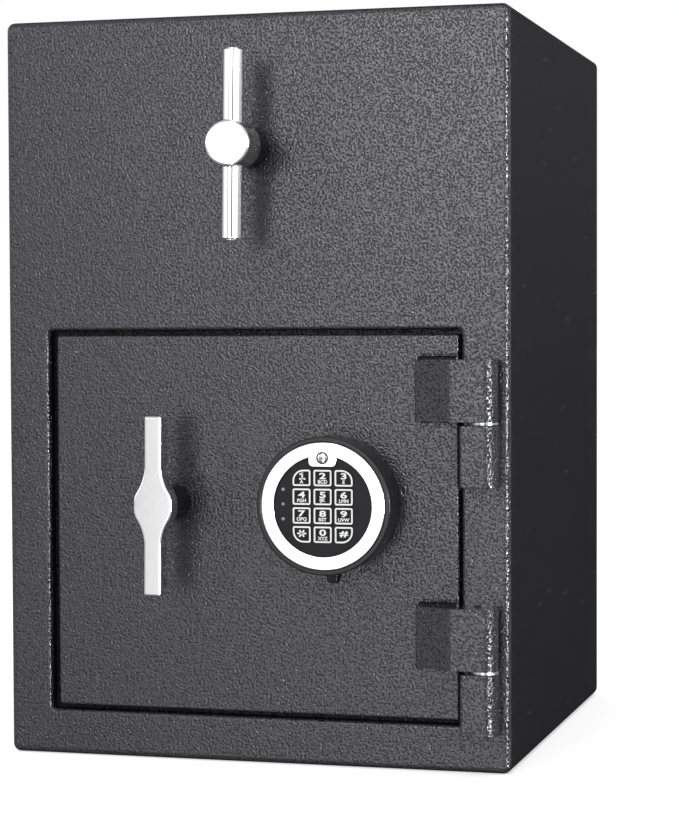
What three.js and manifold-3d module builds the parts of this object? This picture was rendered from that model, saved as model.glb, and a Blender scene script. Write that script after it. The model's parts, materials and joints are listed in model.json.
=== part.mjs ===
// Rotary hopper safe: a steel cabinet with a rotary deposit drum above a hinged, keypad locked door.
// Millimetres, +Z up, front face towards -Y, origin at the centre of the cabinet's underside.
import * as THREE from 'three';
import { mergeVertices } from 'three/addons/utils/BufferGeometryUtils.js';
import Module from 'manifold-3d';

const wasm = await Module();
wasm.setup();

// Cabinet
const cabinetWidth = 355.6;
const cabinetDepth = 355.6;
const cabinetHeight = 508;
const wallThickness = 3;
const fasciaThickness = 4;
const fasciaReturn = 14;
const cornerRadius = 5.5;
const faceEdgeRadius = 4.5;
const backEdgeRadius = 1.5;
const anchorRadius = 6;
const anchorInset = 60;
const matThickness = 2;

// Door opening and its frame
const leftStile = 30.1;
const rightStile = 32.3;
const sillHeight = 31.2;
const headerHeight = 213.2;
const openingCornerRadius = 3;
const openingEdgeRadius = 2.2;
const frameWall = 3;
const stopFlangeWidth = 10;
const stopFlangeThickness = 3;
const stopGap = 0.5;

// Door
const doorThickness = 10;
const doorGapLeft = 6.1;
const doorGapRight = 2.3;
const doorGapTop = 3.5;
const doorGapBottom = 3.5;
const doorCornerRadius = 2.5;
const doorEdgeRadius = 1.8;
const coverInset = 15;
const coverDepth = 30;
const coverWall = 1.5;

// Hinges
const hingePinInset = 15;
const hingePinRadius = 4;
const hingeBarrelRadius = 9;
const hingeThickness = 18.5;
const hingeHalfHeight = 40.8;
const hingeGap = 2.4;
const upperHingeInset = 58.7;
const lowerHingeInset = 34.5;
const leafReach = 47.8;
const leafKneeReach = 22.4;
const leafTipThickness = 7;
const leafRelief = 0.5;
const knuckleReach = 15.3;
const washerRadius = 9.25;

// Rotary hopper
const drumRadius = 84;
const drumWall = 2;
const drumTopClearance = 4.2;
const drumStart = 38;
const drumRearSpace = 64.6;
const drumDiscThickness = 3;
const drumWindowDegrees = 90;
const mouthWidth = 114;
const mouthMargin = 25;
const mouthCornerRadius = 6;
const throatWall = 2;
const throatClearance = 1.5;
const spindleRadius = 8;
const spindleFlangeRadius = 16;
const spindleFlangeThickness = 3;
const bushWall = 2.85;
const bushFlange = 3;
const bushFlangeThickness = 2.25;
const bushOverrun = 2;
const collarWall = 2.3;
const collarChamfer = 1;
const stopRingRadius = 30;
const stopRingDepth = 10;
const stopPinRadius = 3;
const stopPinReach = 27;
const bracketGap = 20;
const bracketHalfWidth = 35;
const bracketFoot = 25;
const bracketHeight = 60;
const axleOverrun = 7;
const baffleThickness = 2;
const baffleFlangeTop = 12;
const baffleBend = 8;
const baffleDrop = 30;
const baffleClearance = 3;
const baffleEndGap = 2;
const toothPitch = 20;
const toothDepth = 10;

// Hopper handle
const hopperHandleStandoff = 39;
const hopperHubRadius = 15.5;
const hopperHubHalfDepth = 13;
const hopperHubRim = 2.5;
const hopperBarRadius = 7;
const hopperBarLength = 124;
const hopperBarPipRadius = 4;
const hopperBarPipHeight = 1.2;

// Door handle, seen from the front as a bar with a wider boss
const doorHandleInset = 85.6;
const doorHandleAboveCentre = 14.3;
const doorHandleLength = 120.5;
const doorHandleBarWidth = 12.2;
const doorHandleBossWidth = 27.3;
const doorHandleBossFlat = 11.8;
const doorHandleFlareReach = 19;
const doorHandleThickness = 13;
const doorHandleStandoff = 31;
const doorHandleRound = 2.2;
const doorHandleEndRound = 2;
const handleCollarRadius = 12;
const handleSpindleRadius = 6;

// Boltwork
const boltThrow = 24;
const boltRadius = 9;
const boltLength = 50;
const boltNose = 1.2;
const boltEdge = 25;
const boltProud = 3;
const boltSetback = 2;
const boltGuideThickness = 4;
const boltGuideFoot = 17;
const boltGuideFootThickness = 3;
const boltGuideDepth = 26;
const boltGuideMargin = 1;
const carriageDepth = 18;
const carriageThickness = 5;
const carriageBarWidth = 16;
const carriageBarOverhang = 14;
const carriageStopPlay = 0.5;
const carriageArmDrop = 1.5;
const carriageArmHeight = 32;
const carriageArmEnd = 14;
const camDepth = 12;
const camThickness = 5;
const camHubRadius = 11;
const camPinRadius = 4;
const camPinOrbit = 17;
const camLobeWall = 3.5;
const slotSideClearance = 0.7;
const slotEndClearance = 1;
const deadBarGap = 1;
const deadBarThickness = 5;
const deadBarReach = 14.4;
const deadBarHook = 8;
const deadBarStandoff = 8;
const deadBarMargin = 35;

// Lock inside the door
const lockOffset = 7.5;
const lockCaseWidth = 60;
const lockCaseHeight = 73;
const lockCaseDepth = 22;
const lockBoltWidth = 12;
const lockBoltDepth = 8;
const lockBoltLength = 34;
const lockBoltLift = 8;
const lockBoltGap = 2;
const lockNotchPlay = 3;
const lockBoltProud = 6;
const lockBoltSetback = 1.5;

// Keypad
const keypadInset = 85.7;
const keypadAboveCentre = 15;
const housingRadius = 46;
const housingDepth = 28;
const housingRim = 5;
const housingRecess = 6;
const ringOuterRadius = 42.5;
const ringInnerRadius = 33.7;
const ringProud = 0.6;
const ringTabHalfWidth = 9.5;
const ringTabBottom = 26.2;
const panelThickness = 3;
const panelInset = 1;
const keyPitchX = 14.45;
const keyPitchZ = 12.5;
const keyWidth = 12.7;
const keyHeight = 11.2;
const keyCornerRadius = 1.5;
const keyOuterCornerRadius = 6.5;
const keyDepth = 4.4;
const keyProud = 0.9;
const lampRadius = 1.15;
const lampOffset = 27.5;
const lampHeights = [10.9, 1, -8.8];
const nubWidth = 8;
const nubHeight = 7.5;
const nubDepth = 6;

// Running clearances, and the gap between pieces that are cut to each other
const seat = 0.25;
const running = 0.15;
const reach = 2;

// Finishes
const hammeredPaint = { color: 0x3b3b3e, roughness: 0.55, metalness: 0.3 };
const plainPaint = { color: 0x2a2a2c, roughness: 0.6, metalness: 0.2 };
const chrome = { color: 0xd9dadc, roughness: 0.08, metalness: 1 };
const brightSteel = { color: 0xb9bbbe, roughness: 0.3, metalness: 1 };
const zincSteel = { color: 0x9fa3a6, roughness: 0.45, metalness: 0.9 };
const brass = { color: 0xb89a55, roughness: 0.35, metalness: 1 };
const blackPlastic = { color: 0x151517, roughness: 0.4, metalness: 0 };
const keyPlastic = { color: 0x0f0f11, roughness: 0.35, metalness: 0 };
const lampPlastic = { color: 0x808083, roughness: 0.3, metalness: 0 };
const matFelt = { color: 0x2c2e33, roughness: 1, metalness: 0 };

// Everything below is measured from the front face: y is the depth behind it, negative in front.
const halfWidth = cabinetWidth / 2;
const backPlateStart = cabinetDepth - wallThickness;
const openingLeft = leftStile - halfWidth;
const openingRight = halfWidth - rightStile;
const openingTop = cabinetHeight - headerHeight;
const doorLeft = openingLeft + doorGapLeft;
const doorRight = openingRight - doorGapRight;
const doorBottom = sillHeight + doorGapBottom;
const doorTop = openingTop - doorGapTop;
const doorMiddle = (doorBottom + doorTop) / 2;
const hopperHeight = cabinetHeight - wallThickness - drumTopClearance - drumRadius;
const drumEnd = backPlateStart - drumRearSpace;
const mouthStart = drumStart + mouthMargin;
const mouthEnd = drumEnd - mouthMargin;
const handleX = doorLeft + doorHandleInset;
const handleHeight = doorMiddle + doorHandleAboveCentre;
const keypadX = doorRight - keypadInset;
const keypadHeight = doorMiddle + keypadAboveCentre;
const pinX = halfWidth - hingePinInset;
const pinDepth = hingeBarrelRadius + leafRelief;

// Geometry helpers

function withoutSlivers(geometry) {
  const bare = geometry.clone();
  for (const name of ['normal', 'uv', 'uv2']) bare.deleteAttribute(name);
  bare.clearGroups();
  const merged = mergeVertices(bare, 1e-4);
  const corners = merged.index.array;
  const kept = [];
  for (let i = 0; i < corners.length; i += 3) {
    const [a, b, c] = [corners[i], corners[i + 1], corners[i + 2]];
    if (a !== b && b !== c && a !== c) kept.push(a, b, c);
  }
  merged.setIndex(kept);
  return merged;
}

function toSolid(geometry) {
  const merged = withoutSlivers(geometry);
  return new wasm.Manifold(new wasm.Mesh({
    numProp: 3,
    vertProperties: Float32Array.from(merged.attributes.position.array),
    triVerts: Uint32Array.from(merged.index.array),
  }));
}

function toGeometry(solid) {
  const mesh = solid.getMesh();
  const geometry = new THREE.BufferGeometry();
  geometry.setAttribute('position', new THREE.BufferAttribute(Float32Array.from(mesh.vertProperties), 3));
  geometry.setIndex(new THREE.BufferAttribute(Uint32Array.from(mesh.triVerts), 1));
  return geometry;
}

const cut = (body, ...tools) =>
  toGeometry(tools.reduce((rest, tool) => rest.subtract(toSolid(tool)), toSolid(body)));

const join = (first, ...others) =>
  toGeometry(others.reduce((sum, other) => sum.add(toSolid(other)), toSolid(first)));

const point = (u, v) => new THREE.Vector2(u, v);

function counterClockwise(outline) {
  return THREE.ShapeUtils.area(outline) < 0 ? [...outline].reverse() : outline;
}

// Rectangle with rounded corners, radii given from the lower left corner round to the upper left
function roundedOutline([left, right], [bottom, top], radii, steps = 4) {
  const [r0, r1, r2, r3] = Array.isArray(radii) ? radii : [radii, radii, radii, radii];
  const corners = [
    [left + r0, bottom + r0, r0, 180],
    [right - r1, bottom + r1, r1, 270],
    [right - r2, top - r2, r2, 0],
    [left + r3, top - r3, r3, 90],
  ];
  return corners.flatMap(([u, v, radius, start]) =>
    Array.from({ length: steps + 1 }, (_, step) => {
      const angle = THREE.MathUtils.degToRad(start + (90 * step) / steps);
      return point(u + radius * Math.cos(angle), v + radius * Math.sin(angle));
    }));
}

// Prism on an outline in x and z, between two depths
function slab(outline, front, back) {
  const shape = outline instanceof THREE.Shape ? outline : new THREE.Shape(counterClockwise(outline));
  return new THREE.ExtrudeGeometry(shape, { depth: back - front, bevelEnabled: false, curveSegments: 6 })
    .rotateX(Math.PI / 2)
    .translate(0, back, 0);
}

// Prism on an outline in x and y, between two heights
function column(outline, bottom, top) {
  const shape = outline instanceof THREE.Shape ? outline : new THREE.Shape(counterClockwise(outline));
  return new THREE.ExtrudeGeometry(shape, { depth: top - bottom, bevelEnabled: false, curveSegments: 8 })
    .translate(0, 0, bottom);
}

function box([left, right], [front, back], [bottom, top]) {
  return new THREE.BoxGeometry(right - left, back - front, top - bottom)
    .translate((left + right) / 2, (front + back) / 2, (bottom + top) / 2);
}

function rodAlongY(x, z, radius, front, back, sides = 24) {
  return new THREE.CylinderGeometry(radius, radius, back - front, sides)
    .translate(x, (front + back) / 2, z);
}

function rodAlongZ(x, y, radius, bottom, top, sides = 24) {
  return new THREE.CylinderGeometry(radius, radius, top - bottom, sides)
    .rotateX(Math.PI / 2)
    .translate(x, y, (bottom + top) / 2);
}

function rodAlongX(y, z, radius, left, right, sides = 24) {
  return new THREE.CylinderGeometry(radius, radius, right - left, sides)
    .rotateZ(Math.PI / 2)
    .translate((left + right) / 2, y, z);
}

// Turned piece on the Y axis, from a closed or axis to axis profile of radius and depth
function turned(profile, sides = 24) {
  const points = counterClockwise(profile.map(([radius, depth]) => point(radius, depth)));
  const onAxis = points.some((p) => p.x === 0);
  if (onAxis) {
    while (!(points[0].x === 0 && points[points.length - 1].x === 0)) points.push(points.shift());
    if (points[0].y > points[points.length - 1].y) points.reverse();
  } else {
    points.push(points[0].clone());
  }
  return withoutSlivers(new THREE.LatheGeometry(points, sides));
}

// Solid through a row of outlines in x and z that lie one behind the other, front one first
function stacked(levels) {
  const count = levels[0].outline.length;
  const positions = levels.flatMap(({ outline, depth }) => outline.flatMap((p) => [p.x, depth, p.y]));
  const faces = [];
  for (let level = 0; level < levels.length - 1; level += 1) {
    const front = level * count;
    const back = front + count;
    for (let i = 0; i < count; i += 1) {
      const next = (i + 1) % count;
      faces.push(front + i, back + i, front + next, front + next, back + i, back + next);
    }
  }
  const last = (levels.length - 1) * count;
  for (const [a, b, c] of THREE.ShapeUtils.triangulateShape(levels[0].outline, [])) faces.push(a, b, c);
  for (const [a, b, c] of THREE.ShapeUtils.triangulateShape(levels[levels.length - 1].outline, [])) {
    faces.push(last + c, last + b, last + a);
  }
  const geometry = new THREE.BufferGeometry();
  geometry.setAttribute('position', new THREE.Float32BufferAttribute(positions, 3));
  geometry.setIndex(faces);
  return geometry;
}

// Depth and inset of a quarter round edge, from the face inwards
function quarterRound(radius, steps) {
  return Array.from({ length: steps + 1 }, (_, step) => {
    const angle = ((Math.PI / 2) * step) / steps;
    return { depth: radius * (1 - Math.cos(angle)), inset: radius * (1 - Math.sin(angle)) };
  });
}

function insetOutline([left, right], [bottom, top], radius, inset) {
  return roundedOutline([left + inset, right - inset], [bottom + inset, top - inset], Math.max(radius - inset, 0.3));
}

// Plate whose front edge is rounded
function softPlate(spanX, spanZ, radius, edge, front, back, steps = 4) {
  const levels = quarterRound(edge, steps).map(({ depth, inset }) => ({
    depth: front + depth,
    outline: insetOutline(spanX, spanZ, radius, inset),
  }));
  levels.push({ depth: back, outline: insetOutline(spanX, spanZ, radius, 0) });
  return stacked(levels);
}

function piece(name, geometry, finish, parent) {
  const clean = withoutSlivers(geometry);
  clean.computeVertexNormals();
  const mesh = new THREE.Mesh(clean, new THREE.MeshStandardMaterial(finish));
  mesh.name = name;
  parent.add(mesh);
  return mesh;
}

// Assembly: one group at the front face, and nested groups on the axes of the two handles and the keypad
const safe = new THREE.Group();
const body = new THREE.Group();
body.position.set(0, -cabinetDepth / 2, 0);
safe.add(body);

const hopperGroup = new THREE.Group();
hopperGroup.position.set(0, 0, hopperHeight);
const handleGroup = new THREE.Group();
handleGroup.position.set(handleX, 0, handleHeight);
const keypadGroup = new THREE.Group();
keypadGroup.position.set(keypadX, 0, keypadHeight);
body.add(hopperGroup, handleGroup, keypadGroup);

// Cabinet shell: bent wrap, pressed fascia with a rounded rim, welded back plate
function buildCabinet() {
  const spanX = [-halfWidth, halfWidth];
  const spanZ = [0, cabinetHeight];
  const insideX = [-halfWidth + wallThickness, halfWidth - wallThickness];
  const insideZ = [wallThickness, cabinetHeight - wallThickness];
  const insideRadius = cornerRadius - wallThickness;

  const anchors = [-1, 1].flatMap((side) => [anchorInset, cabinetDepth - anchorInset].map((depth) =>
    ({ x: side * (halfWidth - anchorInset), depth })));
  const mouth = column(
    roundedOutline([-mouthWidth / 2, mouthWidth / 2], [mouthStart, mouthEnd], mouthCornerRadius),
    cabinetHeight - wallThickness - reach, cabinetHeight + reach);
  piece('cabinet_wrap', cut(
    slab(roundedOutline(spanX, spanZ, cornerRadius), fasciaReturn, backPlateStart),
    slab(roundedOutline(insideX, insideZ, insideRadius), fasciaReturn - reach, backPlateStart + reach),
    mouth,
    ...anchors.map(({ x, depth }) => rodAlongZ(x, depth, anchorRadius, -reach, wallThickness + reach, 16)),
  ), hammeredPaint, body);

  const openingFlare = quarterRound(openingEdgeRadius, 4).map(({ depth, inset }) => ({
    depth,
    outline: roundedOutline([openingLeft - inset, openingRight + inset], [sillHeight - inset, openingTop + inset],
      openingCornerRadius + inset),
  }));
  openingFlare.unshift({ depth: -reach, outline: openingFlare[0].outline });
  openingFlare.push({ depth: fasciaReturn, outline: openingFlare[openingFlare.length - 1].outline });
  piece('front_fascia', cut(
    softPlate(spanX, spanZ, cornerRadius, faceEdgeRadius, 0, fasciaReturn),
    slab(roundedOutline(insideX, insideZ, insideRadius), fasciaThickness, fasciaReturn + reach),
    stacked(openingFlare),
    rodAlongY(0, hopperHeight, spindleRadius + running + bushWall + running, -reach, fasciaReturn),
  ), hammeredPaint, body);

  const backLevels = quarterRound(backEdgeRadius, 2).reverse().map(({ depth, inset }) => ({
    depth: cabinetDepth - depth,
    outline: insetOutline(spanX, spanZ, cornerRadius, inset),
  }));
  backLevels.unshift({ depth: backPlateStart, outline: backLevels[0].outline });
  piece('back_plate', stacked(backLevels), hammeredPaint, body);

  piece('floor_mat', cut(
    box([insideX[0] + cornerRadius, insideX[1] - cornerRadius], [fasciaReturn + 1, backPlateStart - 1],
      [wallThickness, wallThickness + matThickness]),
    ...anchors.map(({ x, depth }) => rodAlongZ(x, depth, anchorRadius + 3, 0, wallThickness + 2 * reach, 16)),
  ), matFelt, body);

  // Ring behind the opening with a flange that the door and its bolts close against
  const frameEnd = doorThickness + stopGap + stopFlangeThickness;
  const frameX = [openingLeft - frameWall, openingRight + frameWall];
  const frameZ = [sillHeight - frameWall, openingTop + frameWall];
  piece('door_frame', cut(
    slab(roundedOutline(frameX, frameZ, openingCornerRadius + frameWall), fasciaThickness, frameEnd),
    slab(roundedOutline([openingLeft, openingRight], [sillHeight, openingTop], openingCornerRadius),
      fasciaThickness - reach, doorThickness + stopGap),
    slab(roundedOutline([openingLeft + stopFlangeWidth, openingRight - stopFlangeWidth],
      [sillHeight + stopFlangeWidth, openingTop - stopFlangeWidth], openingCornerRadius),
    fasciaThickness - reach, frameEnd + reach),
  ), hammeredPaint, body);
}

// Hinge halves: outline seen from above, a knee and a barrel round the pin
function buildHinges() {
  const barrel = (shape) => shape.absarc(pinX, -pinDepth, hingeBarrelRadius, -Math.PI / 2, Math.PI / 2);
  const leafOutline = new THREE.Shape();
  const leafLeft = pinX - leafReach;
  const kneeX = pinX - leafKneeReach;
  leafOutline.moveTo(leafLeft, 0);
  leafOutline.lineTo(leafLeft, 1.5 - leafTipThickness);
  leafOutline.quadraticCurveTo(leafLeft, -leafTipThickness, leafLeft + 1.8, -leafTipThickness - 0.8);
  leafOutline.lineTo(kneeX - 1.6, 0.7 - hingeThickness);
  leafOutline.quadraticCurveTo(kneeX, -hingeThickness, kneeX + 1.6, -hingeThickness);
  leafOutline.lineTo(pinX, -hingeThickness);
  barrel(leafOutline);
  leafOutline.lineTo(doorRight + leafRelief, -leafRelief);
  leafOutline.lineTo(doorRight + leafRelief, 0);
  leafOutline.closePath();

  const knuckleOutline = new THREE.Shape();
  const knuckleLeft = pinX - knuckleReach;
  knuckleOutline.moveTo(knuckleLeft, 0);
  knuckleOutline.lineTo(knuckleLeft, 2 - hingeThickness);
  knuckleOutline.quadraticCurveTo(knuckleLeft, -hingeThickness, knuckleLeft + 2, -hingeThickness);
  knuckleOutline.lineTo(pinX, -hingeThickness);
  knuckleOutline.absarc(pinX, -pinDepth, hingeBarrelRadius, -Math.PI / 2, 0);
  knuckleOutline.lineTo(pinX + hingeBarrelRadius, 0);
  knuckleOutline.closePath();

  const blind = 8;
  for (const [place, height] of [['upper', doorTop - upperHingeInset], ['lower', doorBottom + lowerHingeInset]]) {
    const leafBottom = height + hingeGap / 2;
    const leafTop = leafBottom + hingeHalfHeight;
    const knuckleTop = height - hingeGap / 2;
    const knuckleBottom = knuckleTop - hingeHalfHeight;
    piece(`hinge_leaf_${place}`, cut(
      column(leafOutline, leafBottom, leafTop),
      rodAlongZ(pinX, -pinDepth, hingePinRadius + running, leafBottom - reach, leafTop - blind),
    ), hammeredPaint, body);
    piece(`hinge_knuckle_${place}`, cut(
      column(knuckleOutline, knuckleBottom, knuckleTop),
      rodAlongZ(pinX, -pinDepth, hingePinRadius + running, knuckleBottom + blind, knuckleTop + reach),
    ), hammeredPaint, body);
    piece(`hinge_pin_${place}`,
      rodAlongZ(pinX, -pinDepth, hingePinRadius, knuckleBottom + blind + seat, leafTop - blind - 3 * seat),
      brightSteel, body);
    piece(`hinge_washer_${place}`, cut(
      rodAlongZ(pinX, -pinDepth, washerRadius, knuckleTop + seat, leafBottom - seat, 32),
      rodAlongZ(pinX, -pinDepth, hingePinRadius + running, knuckleTop - reach, leafBottom + reach),
    ), brightSteel, body);
  }
}

// Stationary pieces round the drum
function buildHopperSeat() {
  const boreRadius = spindleRadius + running;
  const bushRadius = boreRadius + bushWall;
  const collarEnd = hopperHandleStandoff - hopperHubHalfDepth - 0.4;

  const mouthX = mouthWidth / 2;
  const throatTop = cabinetHeight - wallThickness;
  piece('hopper_throat', cut(
    box([-mouthX - throatWall, mouthX + throatWall], [mouthStart - throatWall, mouthEnd + throatWall],
      [hopperHeight, throatTop]),
    box([-mouthX, mouthX], [mouthStart, mouthEnd], [hopperHeight - reach, throatTop + reach]),
    rodAlongY(0, hopperHeight, drumRadius + throatClearance, mouthStart - 2 * throatWall,
      mouthEnd + 2 * throatWall, 72),
  ), zincSteel, body);

  const collar = piece('hopper_collar', turned([
    [bushRadius + running, 0], [bushRadius + running + collarWall, 0],
    [bushRadius + running + collarWall, collarChamfer - collarEnd],
    [bushRadius + running + collarWall - collarChamfer, -collarEnd], [bushRadius + running, -collarEnd],
  ]), hammeredPaint, body);
  collar.position.set(0, 0, hopperHeight);

  const bush = piece('front_bush', turned([
    [boreRadius, 0.4 - collarEnd], [bushRadius, 0.4 - collarEnd],
    [bushRadius, fasciaThickness], [boreRadius, fasciaThickness],
  ]), brass, body);
  bush.position.set(0, 0, hopperHeight);

  // Lower half ring that the stop pin meets at both ends of its half turn
  const ringBack = fasciaThickness + stopRingDepth;
  const ringBore = bushRadius + 1;
  piece('stop_ring', cut(
    rodAlongY(0, hopperHeight, stopRingRadius, fasciaThickness, ringBack, 32),
    rodAlongY(0, hopperHeight, ringBore, 0, ringBack + reach),
    box([-stopRingRadius - reach, stopRingRadius + reach], [0, ringBack + reach],
      [hopperHeight - stopPinRadius - seat, hopperHeight + stopRingRadius + reach]),
  ), zincSteel, body);

  // Hat section bracket on the back plate with the rear bush
  const plateFront = drumEnd + bracketGap;
  const plateBack = plateFront + wallThickness;
  const footFront = backPlateStart - wallThickness;
  const side = bracketHalfWidth;
  const inner = side - wallThickness;
  const hat = [
    [-side - bracketFoot, backPlateStart], [-side - bracketFoot, footFront], [-side, footFront],
    [-side, plateFront], [side, plateFront], [side, footFront], [side + bracketFoot, footFront],
    [side + bracketFoot, backPlateStart], [inner, backPlateStart], [inner, plateBack],
    [-inner, plateBack], [-inner, backPlateStart],
  ].map(([u, v]) => point(u, v));
  piece('rear_bracket', cut(
    column(hat, hopperHeight - bracketHeight / 2, hopperHeight + bracketHeight / 2),
    rodAlongY(0, hopperHeight, bushRadius + running, plateFront - reach, plateBack + reach),
  ), zincSteel, body);
  const flangeBack = plateFront - seat;
  const flangeFront = flangeBack - bushFlangeThickness;
  const rearBush = piece('rear_bush', turned([
    [boreRadius, flangeFront], [bushRadius + bushFlange, flangeFront], [bushRadius + bushFlange, flangeBack],
    [bushRadius, flangeBack], [bushRadius, plateBack + bushOverrun], [boreRadius, plateBack + bushOverrun],
  ]), brass, body);
  rearBush.position.set(0, 0, hopperHeight);

  // Sloping plates with saw teeth that close the space beside the drum against fishing
  const tipReach = Math.sqrt((drumRadius + baffleClearance) ** 2 - baffleDrop ** 2);
  const wallX = halfWidth - wallThickness;
  const baffleFront = fasciaReturn + baffleEndGap;
  const baffleBack = backPlateStart - baffleEndGap;
  const section = [
    [wallX, baffleFlangeTop], [wallX, -baffleBend - baffleThickness], [tipReach, -baffleDrop - baffleThickness],
    [tipReach, -baffleDrop], [wallX - baffleThickness, -baffleBend], [wallX - baffleThickness, baffleFlangeTop],
  ];
  const notches = [[tipReach - reach, baffleFront - reach]];
  for (let depth = baffleFront; depth + toothPitch <= baffleBack; depth += toothPitch) {
    notches.push([tipReach, depth], [tipReach + toothDepth, depth + toothPitch / 2]);
  }
  notches.push([tipReach, notches[notches.length - 1][1] + toothPitch / 2]);
  notches.push([tipReach - reach, baffleBack + reach]);
  for (const [place, mirror] of [['left', -1], ['right', 1]]) {
    const mirrored = ([u, v]) => point(mirror * u, v);
    piece(`baffle_${place}`, cut(
      slab(section.map(([u, v]) => point(mirror * u, hopperHeight + v)), baffleFront, baffleBack),
      column(notches.map(mirrored), hopperHeight - 2 * baffleDrop, hopperHeight),
    ), zincSteel, body);
  }
}

// Everything that turns with the hopper handle, on the axis of the drum
function buildHopper() {
  const inner = drumRadius - drumWall;
  const halfWindow = drumWindowDegrees / 2;
  const shellSteps = 36;
  const arc = (radius) => Array.from({ length: shellSteps + 1 }, (_, step) => {
    const turn = -90 + halfWindow + ((360 - drumWindowDegrees) * step) / shellSteps;
    const angle = THREE.MathUtils.degToRad(turn);
    return point(radius * Math.cos(angle), radius * Math.sin(angle));
  });
  piece('drum_shell', slab([...arc(drumRadius), ...arc(inner).reverse()], drumStart, drumEnd),
    zincSteel, hopperGroup);

  const discRadius = (inner - seat) * Math.cos(Math.PI / 72);
  const boreRadius = spindleRadius + running;
  const disc = (front) => turned([
    [boreRadius, front], [discRadius, front], [discRadius, front + drumDiscThickness],
    [boreRadius, front + drumDiscThickness],
  ], 48);
  piece('drum_front_disc', disc(drumStart), zincSteel, hopperGroup);
  piece('drum_rear_disc', disc(drumEnd - drumDiscThickness), zincSteel, hopperGroup);

  // Spindle with a bolted flange in front of the drum and a cross hole for the stop pin
  const spindleFront = -(hopperHandleStandoff - hopperBarRadius - 1);
  const stopDepth = fasciaThickness + stopRingDepth / 2 + 0.5;
  const flangeBack = drumStart - seat;
  piece('hopper_spindle', cut(
    turned([
      [0, spindleFront], [spindleRadius, spindleFront], [spindleRadius, flangeBack - spindleFlangeThickness],
      [spindleFlangeRadius, flangeBack - spindleFlangeThickness], [spindleFlangeRadius, flangeBack],
      [spindleRadius, flangeBack], [spindleRadius, drumStart + drumDiscThickness], [0, drumStart + drumDiscThickness],
    ]),
    rodAlongX(stopDepth, 0, stopPinRadius + running, -2 * spindleRadius, 2 * spindleRadius, 16),
  ), brightSteel, hopperGroup);
  piece('stop_pin', rodAlongX(stopDepth, 0, stopPinRadius, -stopPinReach, spindleRadius, 16),
    brightSteel, hopperGroup);

  const axleFlange = drumEnd + seat;
  const axleEnd = drumEnd + bracketGap + wallThickness + axleOverrun;
  piece('drum_rear_axle', turned([
    [0, drumEnd - drumDiscThickness], [spindleRadius, drumEnd - drumDiscThickness], [spindleRadius, axleFlange],
    [spindleFlangeRadius, axleFlange], [spindleFlangeRadius, axleFlange + spindleFlangeThickness],
    [spindleRadius, axleFlange + spindleFlangeThickness], [spindleRadius, axleEnd], [0, axleEnd],
  ]), brightSteel, hopperGroup);

  // Chrome hub, bored across for the bar and from behind for the spindle
  const hubBack = hopperHubHalfDepth - hopperHandleStandoff;
  const hubFront = -hopperHubHalfDepth - hopperHandleStandoff;
  const rim = quarterRound(hopperHubRim, 3).map(({ depth, inset }) => [hopperHubRadius - inset, hubFront + depth]);
  piece('hopper_hub', cut(
    turned([[0, hubFront], ...rim, [hopperHubRadius, hubBack - 0.8], [hopperHubRadius - 0.8, hubBack],
      [0, hubBack]], 36),
    rodAlongZ(0, -hopperHandleStandoff, hopperBarRadius + running, -2 * hopperHubRadius, 2 * hopperHubRadius),
    rodAlongY(0, 0, spindleRadius + running, spindleFront - seat, hubBack + reach),
  ), chrome, hopperGroup);

  const half = hopperBarLength / 2;
  const bar = turned([
    [0, -half - hopperBarPipHeight], [hopperBarPipRadius - 0.4, -half - hopperBarPipHeight],
    [hopperBarPipRadius, 0.4 - half - hopperBarPipHeight], [hopperBarPipRadius, -half],
    [hopperBarRadius - 0.8, -half], [hopperBarRadius, 0.8 - half], [hopperBarRadius, half - 0.8],
    [hopperBarRadius - 0.8, half], [hopperBarPipRadius, half], [hopperBarPipRadius, half + hopperBarPipHeight - 0.4],
    [hopperBarPipRadius - 0.4, half + hopperBarPipHeight], [0, half + hopperBarPipHeight],
  ]).rotateX(Math.PI / 2).translate(0, -hopperHandleStandoff, 0);
  piece('hopper_bar', bar, chrome, hopperGroup);
}

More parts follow.
